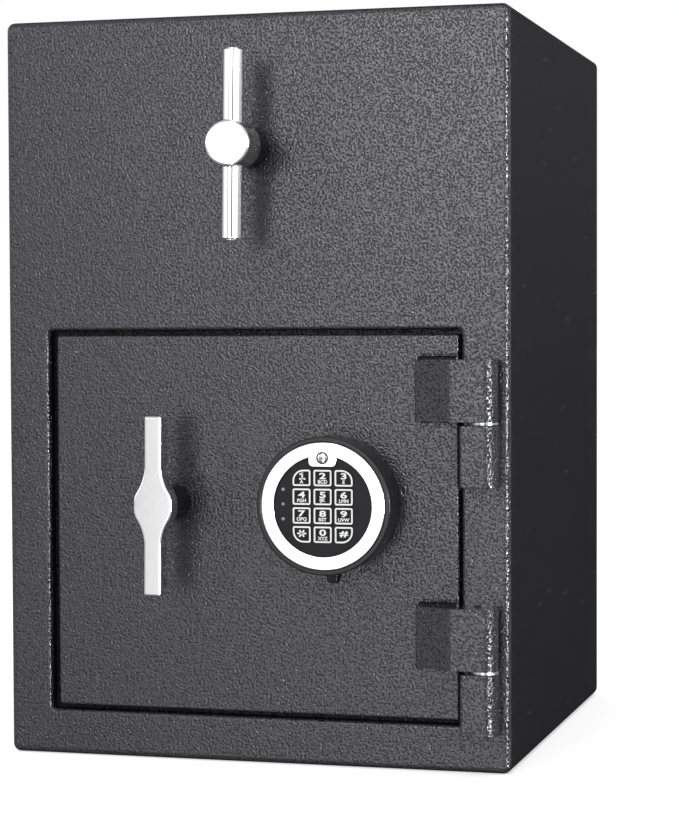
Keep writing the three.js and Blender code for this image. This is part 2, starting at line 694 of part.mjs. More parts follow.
// Door panel with what is fixed to it inside
function buildDoor() {
  const boreRadius = handleSpindleRadius + 2 * running;
  piece('door_plate', cut(
    softPlate([doorLeft, doorRight], [doorBottom, doorTop], doorCornerRadius, doorEdgeRadius, 0, doorThickness, 3),
    rodAlongY(handleX, handleHeight, boreRadius, -reach, doorThickness + reach),
  ), hammeredPaint, body);

  const collar = piece('handle_collar', turned([
    [boreRadius, 0], [handleCollarRadius, 0], [handleCollarRadius, 1.8 - doorHandleStandoff],
    [handleCollarRadius - 1.5, 0.3 - doorHandleStandoff], [boreRadius, 0.3 - doorHandleStandoff],
  ]), hammeredPaint, body);
  collar.position.set(handleX, 0, handleHeight);

  const coverX = [doorLeft + coverInset, doorRight - coverInset];
  const coverZ = [doorBottom + coverInset, doorTop - coverInset];
  const coverBack = doorThickness + coverDepth;
  const boltDepth = carriageDepth + carriageThickness + boltSetback;
  const boltHeights = [
    { place: 'top', height: coverZ[1] - boltEdge },
    { place: 'middle', height: (coverZ[0] + coverZ[1]) / 2 },
    { place: 'bottom', height: coverZ[0] + boltEdge },
  ];
  piece('door_cover', cut(
    slab(roundedOutline(coverX, coverZ, 4), doorThickness, coverBack),
    slab(roundedOutline([coverX[0] + coverWall, coverX[1] - coverWall],
      [coverZ[0] + coverWall, coverZ[1] - coverWall], 2.5), doorThickness - reach, coverBack - coverWall),
    ...boltHeights.map(({ height }) =>
      rodAlongX(boltDepth, height, boltRadius + 3 * running, coverX[0] - reach, coverX[0] + 2 * coverWall)),
  ), plainPaint, body);

  // Angle plate that carries the bolts near their free ends
  const guideLeft = coverX[0] + 2 * coverWall;
  const guideRight = guideLeft + boltGuideThickness;
  const guideFoot = guideLeft + boltGuideFoot;
  const footBack = doorThickness + boltGuideFootThickness;
  const guideBack = doorThickness + boltGuideDepth;
  const guideMargin = coverWall + boltGuideMargin;
  const guideSection = [
    [guideLeft, doorThickness], [guideFoot, doorThickness], [guideFoot, footBack],
    [guideRight, footBack], [guideRight, guideBack], [guideLeft, guideBack],
  ].map(([u, v]) => point(u, v));
  piece('bolt_guide', cut(
    column(guideSection, coverZ[0] + guideMargin, coverZ[1] - guideMargin),
    ...boltHeights.map(({ height }) =>
      rodAlongX(boltDepth, height, boltRadius + 2 * running, guideLeft - reach, guideRight + reach)),
  ), zincSteel, body);

  // Fixed angle bar that stays behind the frame on the hinge side when the door is shut
  const deadLeft = coverX[1] + deadBarGap;
  const deadWeb = deadLeft + deadBarThickness;
  const deadEnd = deadLeft + deadBarReach;
  const deadFront = doorThickness + stopGap + stopFlangeThickness + deadBarStandoff;
  const deadBack = deadFront + deadBarHook;
  const deadSection = [
    [deadLeft, doorThickness], [deadWeb, doorThickness], [deadWeb, deadFront], [deadEnd, deadFront],
    [deadEnd, deadBack], [deadLeft, deadBack],
  ].map(([u, v]) => point(u, v));
  piece('dead_bar', column(deadSection, coverZ[0] + deadBarMargin, coverZ[1] - deadBarMargin),
    zincSteel, body);

  // Bolt carriage, bolts and lock
  const barX = guideRight + boltThrow + carriageStopPlay;
  const barRight = barX + carriageBarWidth;
  const barZ = [coverZ[0] + boltEdge - carriageBarOverhang, coverZ[1] - boltEdge + carriageBarOverhang];
  const lockX = keypadX - lockOffset;
  const armBottom = handleHeight - carriageArmDrop;
  const armTop = armBottom + carriageArmHeight;
  const armEnd = lockX + boltThrow + lockBoltWidth / 2 + carriageArmEnd;
  const carriageBack = carriageDepth + carriageThickness;
  const carriageOutline = [
    [barX, barZ[0]], [barRight, barZ[0]], [barRight, armBottom], [armEnd, armBottom],
    [armEnd, armTop], [barRight, armTop], [barRight, barZ[1]], [barX, barZ[1]],
  ].map(([u, v]) => point(u, v));
  const pinOffset = camPinOrbit * Math.SQRT1_2;
  const slotHalf = camPinRadius + slotSideClearance;
  const slotX = [handleX + pinOffset - slotHalf, handleX + pinOffset + slotHalf];
  const slotEnd = camPinRadius + slotEndClearance;
  const slotZ = [handleHeight + pinOffset - slotEnd, handleHeight + camPinOrbit + slotEnd];
  const notchTop = armBottom + lockBoltLift - lockBoltGap + lockNotchPlay;
  const notch = (x) => box([x - lockBoltWidth / 2 - 2 * seat, x + lockBoltWidth / 2 + 2 * seat],
    [carriageDepth - reach, carriageBack + reach], [armBottom - reach, notchTop]);
  piece('bolt_carriage', cut(
    slab(carriageOutline, carriageDepth, carriageBack),
    slab(roundedOutline(slotX, slotZ, slotHalf - 0.1), carriageDepth - reach, carriageBack + reach),
    notch(lockX),
    notch(lockX + boltThrow),
  ), zincSteel, body);

  const boltLeft = coverX[0] - boltProud;
  for (const { place, height } of boltHeights) {
    const bolt = turned([
      [0, 0], [boltRadius - boltNose, 0], [boltRadius, boltNose], [boltRadius, boltLength], [0, boltLength],
    ]).rotateZ(-Math.PI / 2).translate(boltLeft, boltDepth, height);
    piece(`locking_bolt_${place}`, cut(
      bolt,
      box([barX - 2 * seat, boltLeft + boltLength + reach], [0, carriageBack + seat],
        [height - 2 * boltRadius, height + 2 * boltRadius]),
    ), brightSteel, body);
  }

  const boltTop = armBottom - lockBoltGap;
  const caseTop = boltTop - lockBoltProud;
  const lockFront = carriageDepth - lockBoltSetback;
  const bolt = [[lockX - lockBoltWidth / 2, lockX + lockBoltWidth / 2], [lockFront, lockFront + lockBoltDepth]];
  piece('lock_case', cut(
    box([lockX - lockCaseWidth / 2, lockX + lockCaseWidth / 2], [doorThickness, doorThickness + lockCaseDepth],
      [caseTop - lockCaseHeight, caseTop]),
    box([bolt[0][0] - seat, bolt[0][1] + seat], [bolt[1][0] - seat, bolt[1][1] + seat],
      [boltTop - lockBoltLength - seat, caseTop + reach]),
  ), zincSteel, body);
  piece('lock_bolt', box(bolt[0], bolt[1], [boltTop - lockBoltLength, boltTop]), brass, body);
}

// Chrome handle, its spindle and the cam that drives the carriage
function buildDoorHandle() {
  // One quarter of the outline, drawn in by an inset and mirrored to the other three
  const outlineAt = (inset) => {
    const bar = doorHandleBarWidth / 2 - inset;
    const end = doorHandleLength / 2 - inset;
    const boss = doorHandleBossWidth / 2 - inset;
    const flat = doorHandleBossFlat / 2;
    const round = Math.min(doorHandleEndRound, bar / 2);
    const flare = new THREE.QuadraticBezierCurve(
      point(bar, doorHandleFlareReach), point(bar + 0.8, flat + 3.4), point(boss, flat));
    const corner = new THREE.QuadraticBezierCurve(
      point(bar - round, end - 0.3), point(bar, end - 0.5), point(bar, end - round - 0.5));
    const quarter = [...corner.getPoints(3), ...flare.getPoints(6)];
    const mirrored = (u, v) => quarter.map((p) => point(u * p.x, v * p.y));
    return [
      ...mirrored(1, -1), ...mirrored(1, 1).reverse(), point(0, end),
      ...mirrored(-1, 1), ...mirrored(-1, -1).reverse(), point(0, -end),
    ];
  };
  const handleFront = -doorHandleStandoff - doorHandleThickness;
  const rounded = quarterRound(doorHandleRound, 3);
  const casting = stacked([
    ...rounded.map(({ depth, inset }) => ({ depth: handleFront + depth, outline: outlineAt(inset) })),
    ...[...rounded].reverse().map(({ depth, inset }) =>
      ({ depth: -doorHandleStandoff - depth, outline: outlineAt(inset) })),
  ]);
  const socketFront = -doorHandleStandoff - doorHandleThickness / 2;
  piece('door_handle', cut(
    casting,
    rodAlongY(0, 0, handleSpindleRadius + running, socketFront, reach - doorHandleStandoff),
  ), chrome, handleGroup);

  const camBack = camDepth + camThickness;
  piece('handle_spindle', rodAlongY(0, 0, handleSpindleRadius, socketFront + seat, camBack + seat),
    brightSteel, handleGroup);

  const lobe = rodAlongY(camPinOrbit, 0, camPinRadius + camLobeWall, camDepth, camBack);
  const webHalf = camPinRadius + camLobeWall - seat;
  const web = box([0, camPinOrbit], [camDepth, camBack], [-webHalf, webHalf]);
  const pin = rodAlongY(camPinOrbit, 0, camPinRadius, camBack - 1, carriageDepth + carriageThickness + 1);
  piece('drive_cam', cut(
    join(rodAlongY(0, 0, camHubRadius, camDepth, camBack), web, lobe, pin).rotateY(-Math.PI / 4),
    rodAlongY(0, 0, handleSpindleRadius + running, camDepth - reach, camBack + reach),
  ), zincSteel, handleGroup);
}

// Keypad: round housing, chrome ring with a tab for its screw, panel, keys and lamps
function buildKeypad() {
  const face = -housingDepth;
  const floor = face + housingRecess;
  const rim = quarterRound(housingRim, 4).map(({ depth, inset }) => [housingRadius - inset, face + depth]);
  piece('keypad_housing', turned([
    [0, floor], [ringOuterRadius + seat, floor], [ringOuterRadius + seat, face + 0.4],
    [housingRadius - housingRim + 1.9, face + 0.2], ...rim.slice(2), [housingRadius, 0], [0, 0],
  ], 64), blackPlastic, keypadGroup);

  // Circle broken at its top by a tab that reaches down towards the keys
  const tabbedCircle = (radius, halfWidth_, bottom, round, steps = 48) => {
    const start = Math.acos(halfWidth_ / radius);
    const span = 2 * Math.PI - (Math.PI - 2 * start);
    const points = Array.from({ length: steps + 1 }, (_, step) => {
      const angle = Math.PI - start + (span * step) / steps;
      return point(radius * Math.cos(angle), radius * Math.sin(angle));
    });
    const corner = (side) => [0, 1, 2, 3].map((step) => {
      const angle = ((Math.PI / 2) * step) / 3;
      return point(side * (halfWidth_ - round * (1 - Math.cos(angle))), bottom + round * (1 - Math.sin(angle)));
    });
    return [...points, ...corner(1), ...corner(-1).reverse()];
  };
  const ringFront = face - ringProud;
  const hole = (grow) => slab(
    tabbedCircle(ringInnerRadius + grow, ringTabHalfWidth - grow, ringTabBottom + grow, 3), ringFront - reach, 0);
  const ringEdge = quarterRound(0.8, 2).map(({ depth, inset }) => [ringOuterRadius - inset, ringFront + depth]);
  piece('keypad_ring', cut(
    turned([[0, ringFront], ...ringEdge, [ringOuterRadius, floor - seat], [0, floor - seat]], 64),
    hole(0),
  ), chrome, keypadGroup);

  const panelFront = face + panelInset;
  const panelBack = panelFront + panelThickness;
  const keys = ['1', '2', '3', '4', '5', '6', '7', '8', '9', 'star', '0', 'hash'].map((label, index) => {
    const columnIndex = index % 3;
    const rowIndex = Math.floor(index / 3);
    const radii = [keyCornerRadius, keyCornerRadius, keyCornerRadius, keyCornerRadius];
    if (label === '1') radii[3] = keyOuterCornerRadius;
    if (label === '3') radii[2] = keyOuterCornerRadius;
    if (label === 'star') radii[0] = keyOuterCornerRadius;
    if (label === 'hash') radii[1] = keyOuterCornerRadius;
    return { label, radii, x: (columnIndex - 1) * keyPitchX, z: (1.5 - rowIndex) * keyPitchZ };
  });
  const keyOutline = ({ x, z, radii }, grow) => roundedOutline(
    [x - keyWidth / 2 - grow, x + keyWidth / 2 + grow], [z - keyHeight / 2 - grow, z + keyHeight / 2 + grow],
    radii.map((radius) => radius + grow), 3);
  const panelOutline = new THREE.Shape(tabbedCircle(ringInnerRadius - seat, ringTabHalfWidth + seat,
    ringTabBottom - seat, 3));
  for (const key of keys) panelOutline.holes.push(new THREE.Path(keyOutline(key, seat)));
  for (const height of lampHeights) {
    const lamp = new THREE.Path();
    lamp.absarc(-lampOffset, height, lampRadius + seat, 0, 2 * Math.PI);
    panelOutline.holes.push(new THREE.Path(lamp.getPoints(3)));
  }
  piece('keypad_panel', slab(panelOutline, panelFront, panelBack), blackPlastic, keypadGroup);

  const lampStrip = box([-lampOffset - 1.5, -lampOffset + 1.5],
    [panelBack + seat, floor - seat], [lampHeights[2] - 2, lampHeights[0] + 2]);
  piece('led_light_pipe', join(lampStrip, ...lampHeights.map((height) =>
    rodAlongY(-lampOffset, height, lampRadius, panelFront, panelBack + 0.8, 12))), lampPlastic, keypadGroup);

  for (const key of keys) {
    const front = panelFront - keyProud;
    piece(`key_${key.label}`, stacked([
      { depth: front, outline: keyOutline(key, -0.4) },
      { depth: front + 0.4, outline: keyOutline(key, 0) },
      { depth: front + keyDepth, outline: keyOutline(key, 0) },
    ]), keyPlastic, keypadGroup);
  }

  const nubTop = seat - housingRadius;
  piece('contact_nub', softPlate([-nubWidth / 2, nubWidth / 2], [nubTop - nubHeight, nubTop - 0.5], 2, 1.5,
    -nubDepth, 0, 3), blackPlastic, keypadGroup);
}

buildCabinet();
buildHinges();
buildHopperSeat();
buildHopper();
buildDoor();
buildDoorHandle();
buildKeypad();

export default safe;
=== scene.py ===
"""Rotary hopper safe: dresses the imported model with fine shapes, finishes, a light tent and a camera."""

import json
import math

import bmesh
import bpy
from bpy.props import FloatProperty, FloatVectorProperty, PointerProperty, StringProperty
from mathutils import Matrix, Vector


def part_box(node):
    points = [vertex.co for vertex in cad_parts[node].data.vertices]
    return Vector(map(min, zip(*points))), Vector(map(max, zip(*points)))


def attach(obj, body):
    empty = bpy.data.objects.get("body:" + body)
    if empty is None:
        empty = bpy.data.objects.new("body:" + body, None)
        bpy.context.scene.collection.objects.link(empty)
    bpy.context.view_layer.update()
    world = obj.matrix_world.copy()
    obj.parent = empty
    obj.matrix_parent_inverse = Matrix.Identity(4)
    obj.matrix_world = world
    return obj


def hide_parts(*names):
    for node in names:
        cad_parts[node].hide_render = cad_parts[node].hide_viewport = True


bl_info = {
    "name": "Rotary Hopper Safe",
    "version": (1, 0, 0),
    "blender": (4, 5, 0),
    "location": "3D View > Sidebar > Safe",
    "description": "Builds the finished look of a rotary hopper safe on its measured model",
    "category": "Object",
}

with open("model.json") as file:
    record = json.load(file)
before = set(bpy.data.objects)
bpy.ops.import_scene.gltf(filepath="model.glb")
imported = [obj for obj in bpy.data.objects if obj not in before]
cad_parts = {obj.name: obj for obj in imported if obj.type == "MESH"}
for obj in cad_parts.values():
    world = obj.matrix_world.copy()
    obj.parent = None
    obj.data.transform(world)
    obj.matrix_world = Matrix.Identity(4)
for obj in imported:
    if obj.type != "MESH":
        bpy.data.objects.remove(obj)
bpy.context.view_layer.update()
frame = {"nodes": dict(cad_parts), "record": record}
X, Y, Z = Vector((1, 0, 0)), Vector((0, 1, 0)), Vector((0, 0, 1))

# Middles of the pieces that others are placed about, and the plane of the front
HOPPER = sum(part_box("hopper_hub"), Vector()) / 2
HANDLE = sum(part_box("door_handle"), Vector()) / 2
KEYPAD = sum(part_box("keypad_housing"), Vector()) / 2
FACE_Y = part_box("front_fascia")[0].y

# In metres: points this close are one, eased edges of plate and rod, and the play of a bore on its shaft
SAME = 1e-6
PLATE_EDGE = 0.0003
ROD_EDGE = 0.0004
RUNNING_PLAY = 0.00015

# Screw heads as radius and height
BRACKET_SCREW = (0.0042, 0.0026)
FLANGE_SCREW = (0.0026, 0.0017)
COVER_SCREW = (0.004, 0.0022)
RING_SCREW = (0.0031, 0.0005)

# Grey levels round the light tent, each with its degrees to the right of the front
WALL = ((-180, 0.02), (-150, 0.05), (-128, 0.45), (-96, 0.4), (-64, 1.0), (-46, 1.7), (-34, 0.6), (-24, 0.45),
        (-18, 2.0), (-12, 5.2), (1, 4.8), (3, 1.5), (8, 1.3), (9, 0.1), (21, 0.1), (22, 1.6), (90, 1.0),
        (91, 0.1), (98, 0.1), (99, 1.0), (117, 0.9), (118, 0.1), (126, 0.1), (127, 0.9), (144, 0.9),
        (150, 0.02), (180, 0.02))
STRIP_LAMP = ((-180, 0), (49, 0), (50, 95), (58, 95), (59, 0), (180, 0))


# Colours and nodes


def linear(code):
    """Linear colour, with alpha, of an sRGB hex value."""
    levels = [int(code[i : i + 2], 16) / 255 for i in (1, 3, 5)]
    return (*[v / 12.92 if v <= 0.04045 else ((v + 0.055) / 1.055) ** 2.4 for v in levels], 1.0)


def add(tree, kind, inputs=None, **settings):
    """Adds a node with its settings, and links or sets its inputs."""
    node = tree.nodes.new("ShaderNode" + kind)
    for key, value in settings.items():
        setattr(node, key, value)
    for socket, source in (inputs or {}).items():
        if isinstance(source, bpy.types.NodeSocket):
            tree.links.new(source, node.inputs[socket])
        else:
            node.inputs[socket].default_value = source
    return node


def started(name):
    """A new material with only its output and a principled shader, and its object coordinates."""
    material = bpy.data.materials.new(name)
    material.use_nodes = True
    tree = material.node_tree
    tree.nodes.clear()
    shader = add(tree, "BsdfPrincipled")
    add(tree, "OutputMaterial", {"Surface": shader.outputs["BSDF"]})
    return material, tree, shader, add(tree, "TexCoord").outputs["Object"]


def put(tree, shader, **values):
    """Sets or links inputs of a shader, with underscores for the spaces in their names."""
    for name, source in values.items():
        socket = shader.inputs[name.replace("_", " ")]
        if isinstance(source, bpy.types.NodeSocket):
            tree.links.new(source, socket)
        else:
            socket.default_value = source


def ramped(tree, source, low, high, from_low=0.3, from_high=0.7):
    """Output that runs between two values as its source does."""
    return add(tree, "MapRange", {
        "Value": source, "From Min": from_low, "From Max": from_high, "To Min": low, "To Max": high,
    }).outputs["Result"]


def noise(tree, place, scale, detail, **more):
    """Level of a noise texture with so many waves to the metre."""
    return add(tree, "TexNoise", {"Vector": place, "Scale": scale, "Detail": detail, **more}).outputs["Fac"]


def bumped(tree, height, strength, distance):
    """Normal of a surface that a level raises by up to a distance in metres."""
    return add(tree, "Bump", {"Height": height, "Strength": strength, "Distance": distance}).outputs["Normal"]


def worked(tree, operation, *values):
    """Output of a math node on its values."""
    return add(tree, "Math", dict(enumerate(values)), operation=operation).outputs[0]


def blended(tree, level, first, second):
    """Colour that runs between two hex colours as a noise does."""
    share = ramped(tree, level, 0.0, 1.0)
    mix = add(tree, "Mix", {"Factor": share, "A": linear(first), "B": linear(second)}, data_type="RGBA")
    return mix.outputs["Result"]


# Finishes


def hammertone(name, paint, gloss, coat):
    """Hammertone paint: cells about 2 mm wide with dark pits between them."""
    material, tree, shader, place = started(name)
    cells = noise(tree, place, 1 / bpy.context.scene.safe_finishes.grain, 1.5, Roughness=0.5)
    cloud = noise(tree, place, 25.0, 1.0)
    # Flat tops with pits between them, over a slow roll
    tops = add(tree, "MapRange", {"Value": cells, "From Min": 0.3, "From Max": 0.52},
               interpolation_type="SMOOTHSTEP").outputs["Result"]
    height = worked(tree, "MULTIPLY_ADD", cells, 1.5, tops)
    # Faces that turn from the front to a side carry a deeper grain, where the coat pulled off the edge
    facing = add(tree, "SeparateXYZ", {"Vector": add(tree, "TexCoord").outputs["Normal"]})
    turned = worked(tree, "ABSOLUTE", worked(tree, "MULTIPLY", facing.outputs["X"], facing.outputs["Y"]))
    normal = bumped(tree, height, 1.0, ramped(tree, turned, 0.00018, 0.00034, 0.05, 0.4))
    # The pits are coloured near black: painted shade in the hollows of the grain
    pit_shaded_tone = add(tree, "ValToRGB", {"Fac": tops})
    for element, position, tone in zip(pit_shaded_tone.color_ramp.elements, (0.2, 0.8), ("#0c0c0e", paint)):
        element.position = position
        element.color = linear(tone)
    put(tree, shader, Base_Color=pit_shaded_tone.outputs["Color"], Roughness=ramped(tree, cloud, 0.11, 0.16),
        Normal=normal, Coat_Weight=coat, Coat_Roughness=0.04, Coat_IOR=1.5, Coat_Normal=normal,
        Specular_IOR_Level=gloss)
    return material


def hammertone_coat():
    """Baked hammertone powder coat with its full gloss, as on the flat sides."""
    return hammertone("hammertone_coat", bpy.context.scene.safe_finishes.paint, 0.25, 0.6)


def hammertone_painted_shade():
    """Darker copy of the hammertone coat, nearly without gloss, for recesses, turned collars and weld beads:
    painted shade.
    """
    return hammertone("hammertone_painted_shade", "#1d1d21", 0.1, 0.0)


def satin_enamel():
    """Air dried satin enamel on sheet steel: flat dark colour with a faint orange peel."""
    material, tree, shader, place = started("satin_enamel")
    peel = noise(tree, place, 420.0, 1.0)
    cloud = noise(tree, place, 14.0, 3.0)
    put(tree, shader, Base_Color=blended(tree, cloud, "#2b2b2d", "#343436"),
        Roughness=ramped(tree, cloud, 0.42, 0.52), Normal=bumped(tree, peel, 0.6, 0.00005))
    return material


def polished_chrome():
    """Polished chrome plate: near mirror, with the faint waviness of a buffed casting under it."""
    material, tree, shader, place = started("polished_chrome")
    wave = noise(tree, place, 160.0, 1.0)
    haze = noise(tree, place, 55.0, 4.0)
    put(tree, shader, Base_Color=linear("#f4f4f5"), Metallic=1.0,
        Roughness=ramped(tree, haze, 0.03, 0.08), Normal=bumped(tree, wave, 0.25, 0.00004))
    return material


def ground_steel():
    """Ground bright steel rod: silver with fine lines round it from the wheel."""
    material, tree, shader, place = started("ground_steel")
    lines = noise(tree, place, 2600.0, 2.0)
    cloud = noise(tree, place, 90.0, 3.0)
    put(tree, shader, Base_Color=blended(tree, cloud, "#b6b8bb", "#cfd1d3"), Metallic=1.0,
        Roughness=ramped(tree, cloud, 0.2, 0.32), Normal=bumped(tree, lines, 0.3, 0.00002))
    return material


def zinc_plate():
    """Zinc plated sheet steel: bluish silver with rolling streaks and a blotchy passivation."""
    material, tree, shader, place = started("zinc_plate")
    rolled = add(tree, "Mapping", {"Vector": place, "Scale": (30.0, 700.0, 700.0)})
    streaks = noise(tree, rolled.outputs["Vector"], 1.0, 3.0)
    blotch = noise(tree, place, 38.0, 4.0, Distortion=0.6)
    put(tree, shader, Base_Color=blended(tree, blotch, "#8f979d", "#b9bdc0"), Metallic=1.0,
        Roughness=ramped(tree, blotch, 0.3, 0.48), Normal=bumped(tree, streaks, 0.4, 0.00003))
    return material


def turned_brass():
    """Turned brass bush: yellow metal, a little tarnished in patches."""
    material, tree, shader, place = started("turned_brass")
    cloud = noise(tree, place, 120.0, 3.0)
    lines = noise(tree, place, 2200.0, 1.0)
    put(tree, shader, Base_Color=blended(tree, cloud, "#a98a4c", "#c8aa66"), Metallic=1.0,
        Roughness=ramped(tree, cloud, 0.24, 0.38), Normal=bumped(tree, lines, 0.3, 0.00002))
    return material


def moulded(name, gloss, rough):
    """ABS moulded against a spark eroded die: black with a fine even texture that softens its gloss."""
    material, tree, shader, place = started(name)
    # The real texture is about 0.1 mm, drawn at 0.7 mm so that it shows
    texture = noise(tree, place, 1400.0, 1.0)
    cloud = noise(tree, place, 60.0, 2.0)
    put(tree, shader, Base_Color=blended(tree, cloud, "#1d1d1f", "#242426"), Specular_IOR_Level=gloss,
        Roughness=ramped(tree, cloud, rough, rough + 0.08), Normal=bumped(tree, texture, 0.5, 0.00004))
    return material


def moulded_black():
    """The keypad's matt front panel."""
    return moulded("moulded_black", 0.12, 0.34)


def moulded_satin():
    """The keypad's housing, polished a little more than its panel."""
    return moulded("moulded_satin", 0.3, 0.26)


def smooth_abs():
    """Smooth ABS key: black and glossier than its panel, slightly dulled by handling."""
    material, tree, shader, place = started("smooth_abs")
    cloud = noise(tree, place, 230.0, 3.0)
    put(tree, shader, Base_Color=blended(tree, cloud, "#101011", "#161617"),
        Roughness=ramped(tree, cloud, 0.26, 0.36), Specular_IOR_Level=0.12)
    return material


def print_ink():
    """White pad printing ink: a thin matt film, not quite even."""
    material, tree, shader, place = started("print_ink")
    film = noise(tree, place, 900.0, 2.0)
    put(tree, shader, Base_Color=blended(tree, film, "#eeeeee", "#fbfbfb"), Roughness=0.5)
    return material


def smoked_acrylic():
    """Smoked acrylic light pipe: grey and clear, with bright glints."""
    material, tree, shader, place = started("smoked_acrylic")
    cloud = noise(tree, place, 500.0, 2.0)
    put(tree, shader, Base_Color=blended(tree, cloud, "#77777a", "#9c9c9f"),
        Roughness=ramped(tree, cloud, 0.08, 0.16), Coat_Weight=0.5, Coat_Roughness=0.05)
    return material


def needled_felt():
    """Needled polyester felt: matt charcoal with fibres lying every way."""
    material, tree, shader, place = started("needled_felt")
    fibres = noise(tree, place, 1100.0, 3.0, Distortion=2.5)
    tufts = noise(tree, place, 220.0, 2.0)
    put(tree, shader, Base_Color=blended(tree, fibres, "#232529", "#3b3e44"), Roughness=0.95,
        Normal=bumped(tree, tufts, 0.8, 0.0003), Sheen_Weight=0.35, Sheen_Roughness=0.5)
    return material


# Each finish with the slot it fills
FINISHES = {
    "hammertone_coat": (hammertone_coat, "hammered_paint"),
    # Darker, nearly glossless copy of the coat: painted shade
    "hammertone_painted_shade": (hammertone_painted_shade, "hammered_paint"),
    "satin_enamel": (satin_enamel, "plain_paint"),
    "polished_chrome": (polished_chrome, "chrome"),
    "ground_steel": (ground_steel, "bright_steel"),
    "zinc_plate": (zinc_plate, "zinc_steel"),
    "turned_brass": (turned_brass, "brass"),
    "moulded_black": (moulded_black, "black_plastic"),
    "moulded_satin": (moulded_satin, "black_plastic"),
    "smooth_abs": (smooth_abs, "key_plastic"),
    "print_ink": (print_ink, "key_plastic"),
    "smoked_acrylic": (smoked_acrylic, "lamp_plastic"),
    "needled_felt": (needled_felt, "felt"),
}


def finish_named(name):
    """The finish's material, made the first time it is asked for."""
    return bpy.data.materials.get(name) or FINISHES[name][0]()


# Shapes


def chain(bm, points, closed=False):
    """Vertices joined by edges, open or closed."""
    verts = [bm.verts.new(p) for p in points]
    ends = verts[1:] + verts[:1] if closed else verts[1:]
    return verts + [bm.edges.new(pair) for pair in zip(verts, ends)]


def spun(profile, centre, axis, out, steps=96):
    """Turned shape from (radius, distance along the axis) pairs in metres."""
    bm = bmesh.new()
    points = [centre + out * radius + axis * along for radius, along in profile]
    bmesh.ops.spin(bm, geom=chain(bm, points), cent=centre, axis=axis, angle=2 * math.pi, steps=steps,
                   use_merge=True)
    bmesh.ops.remove_doubles(bm, verts=bm.verts, dist=SAME)
    bmesh.ops.recalc_face_normals(bm, faces=bm.faces)
    return bm


def ring(bore, radius, first, last, centre, axis, steps=96):
    """Plain ring between two distances along its axis."""
    return spun([(bore, last), (radius, last), (radius, first), (bore, first), (bore, last)],
                centre, axis, X, steps)


def block(low, high):
    """Plain block between two corners."""
    bm = bmesh.new()
    bmesh.ops.create_cube(bm, size=1)
    bmesh.ops.scale(bm, vec=high - low, verts=bm.verts)
    bmesh.ops.translate(bm, vec=(low + high) / 2, verts=bm.verts)
    return bm


def raised(points, drop):
    """Solid from a flat outline and the vector it is extruded along."""
    bm = bmesh.new()
    loop = chain(bm, points, closed=True)
    bmesh.ops.contextual_create(bm, geom=loop)
    grown = bmesh.ops.extrude_face_region(bm, geom=list(bm.faces), use_keep_orig=True)
    moved = [v for v in grown["geom"] if isinstance(v, bmesh.types.BMVert)]
    bmesh.ops.translate(bm, vec=drop, verts=moved)
    bmesh.ops.recalc_face_normals(bm, faces=bm.faces)
    return bm


def round_edges(bm, edges, radius, segments=3):
    """Rounds edges of a shape."""
    bmesh.ops.bevel(bm, geom=edges, offset=radius, offset_type="OFFSET", segments=segments, profile=0.5,
                    affect="EDGES", clamp_overlap=True, material=-1)


def sharp(bm, degrees=30, where=None):
    """Edges where the surface turns by more than an angle, of those that a test lets through."""
    limit = math.radians(degrees)
    return [e for e in bm.edges
            if e.is_manifold and e.calc_face_angle(0) > limit and (not where or where(e))]


def along(bm, axis):
    """Edges that run along an axis."""
    return [e for e in bm.edges if abs((e.verts[0].co - e.verts[1].co).normalized().dot(axis)) > 0.999]


def middle(edge):
    """The point halfway along an edge."""
    return (edge.verts[0].co + edge.verts[1].co) / 2


def leaned(bm, centre, angle):
    """Turns a shape a little about an axis that runs front to back."""
    bmesh.ops.rotate(bm, verts=bm.verts, cent=centre, matrix=Matrix.Rotation(angle, 3, "Y"))


def merged(node):
    """Copy of a node's mesh with its triangles joined into whole faces."""
    bm = bmesh.new()
    bm.from_mesh(frame["nodes"][node].data)
    bmesh.ops.remove_doubles(bm, verts=bm.verts, dist=SAME)
    bmesh.ops.dissolve_limit(bm, angle_limit=math.radians(0.5), verts=bm.verts, edges=bm.edges)
    return bm


def body_of(node):
    """The body that a node rides on."""
    groups = frame["record"]["behaviour"]["bodies"]
    return next(body for body, members in groups.items() if node in members)


def placed(bm, name):
    """Object in the scene with a shape as its mesh."""
    mesh = bpy.data.meshes.new(name)
    bm.to_mesh(mesh)
    bm.free()
    piece = bpy.data.objects.new(name, mesh)
    bpy.context.scene.collection.objects.link(piece)
    return piece


def shaded(piece, smooth):
    """Shades a piece smooth, with its edges sharp where they turn by more than an angle."""
    piece.data.shade_smooth()
    piece.data.set_sharp_from_angle(angle=math.radians(smooth))
    piece.modifiers.new("even_shading", "WEIGHTED_NORMAL").keep_sharp = True


def finished(bm, name, finish, body, stands_for=(), smooth=35):
    """Makes the piece's object, with its finish, shading and body."""
    piece = placed(bm, name)
    piece.data.materials.append(finish_named(finish))
    shaded(piece, smooth)
    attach(piece, body)
    for node in stands_for:
        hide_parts(node)
    return piece


def dressed(node, finish, edge=None, segments=2, where=None):
    """A node's own shape with softened edges and its finish."""
    bm = merged(node)
    width = bpy.context.scene.safe_sizes.sheet_edge if edge is None else edge
    if width:
        round_edges(bm, sharp(bm, 30, where), width, segments)
    finished(bm, node + "_finished", finish, body_of(node), [node])


def collar(node, centre, bore, edge, segments):
    """Turned and painted collar on the front, with a rounded rim; its darker coat is painted shade."""
    low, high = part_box(node)
    bm = ring(bore, (high.x - low.x) / 2, low.y - centre.y, high.y - centre.y, centre, Y)
    round_edges(bm, sharp(bm, 40, lambda e: middle(e).y < low.y + 0.001), edge, segments)
    finished(bm, node + "_finished", "hammertone_painted_shade", body_of(node), [node])


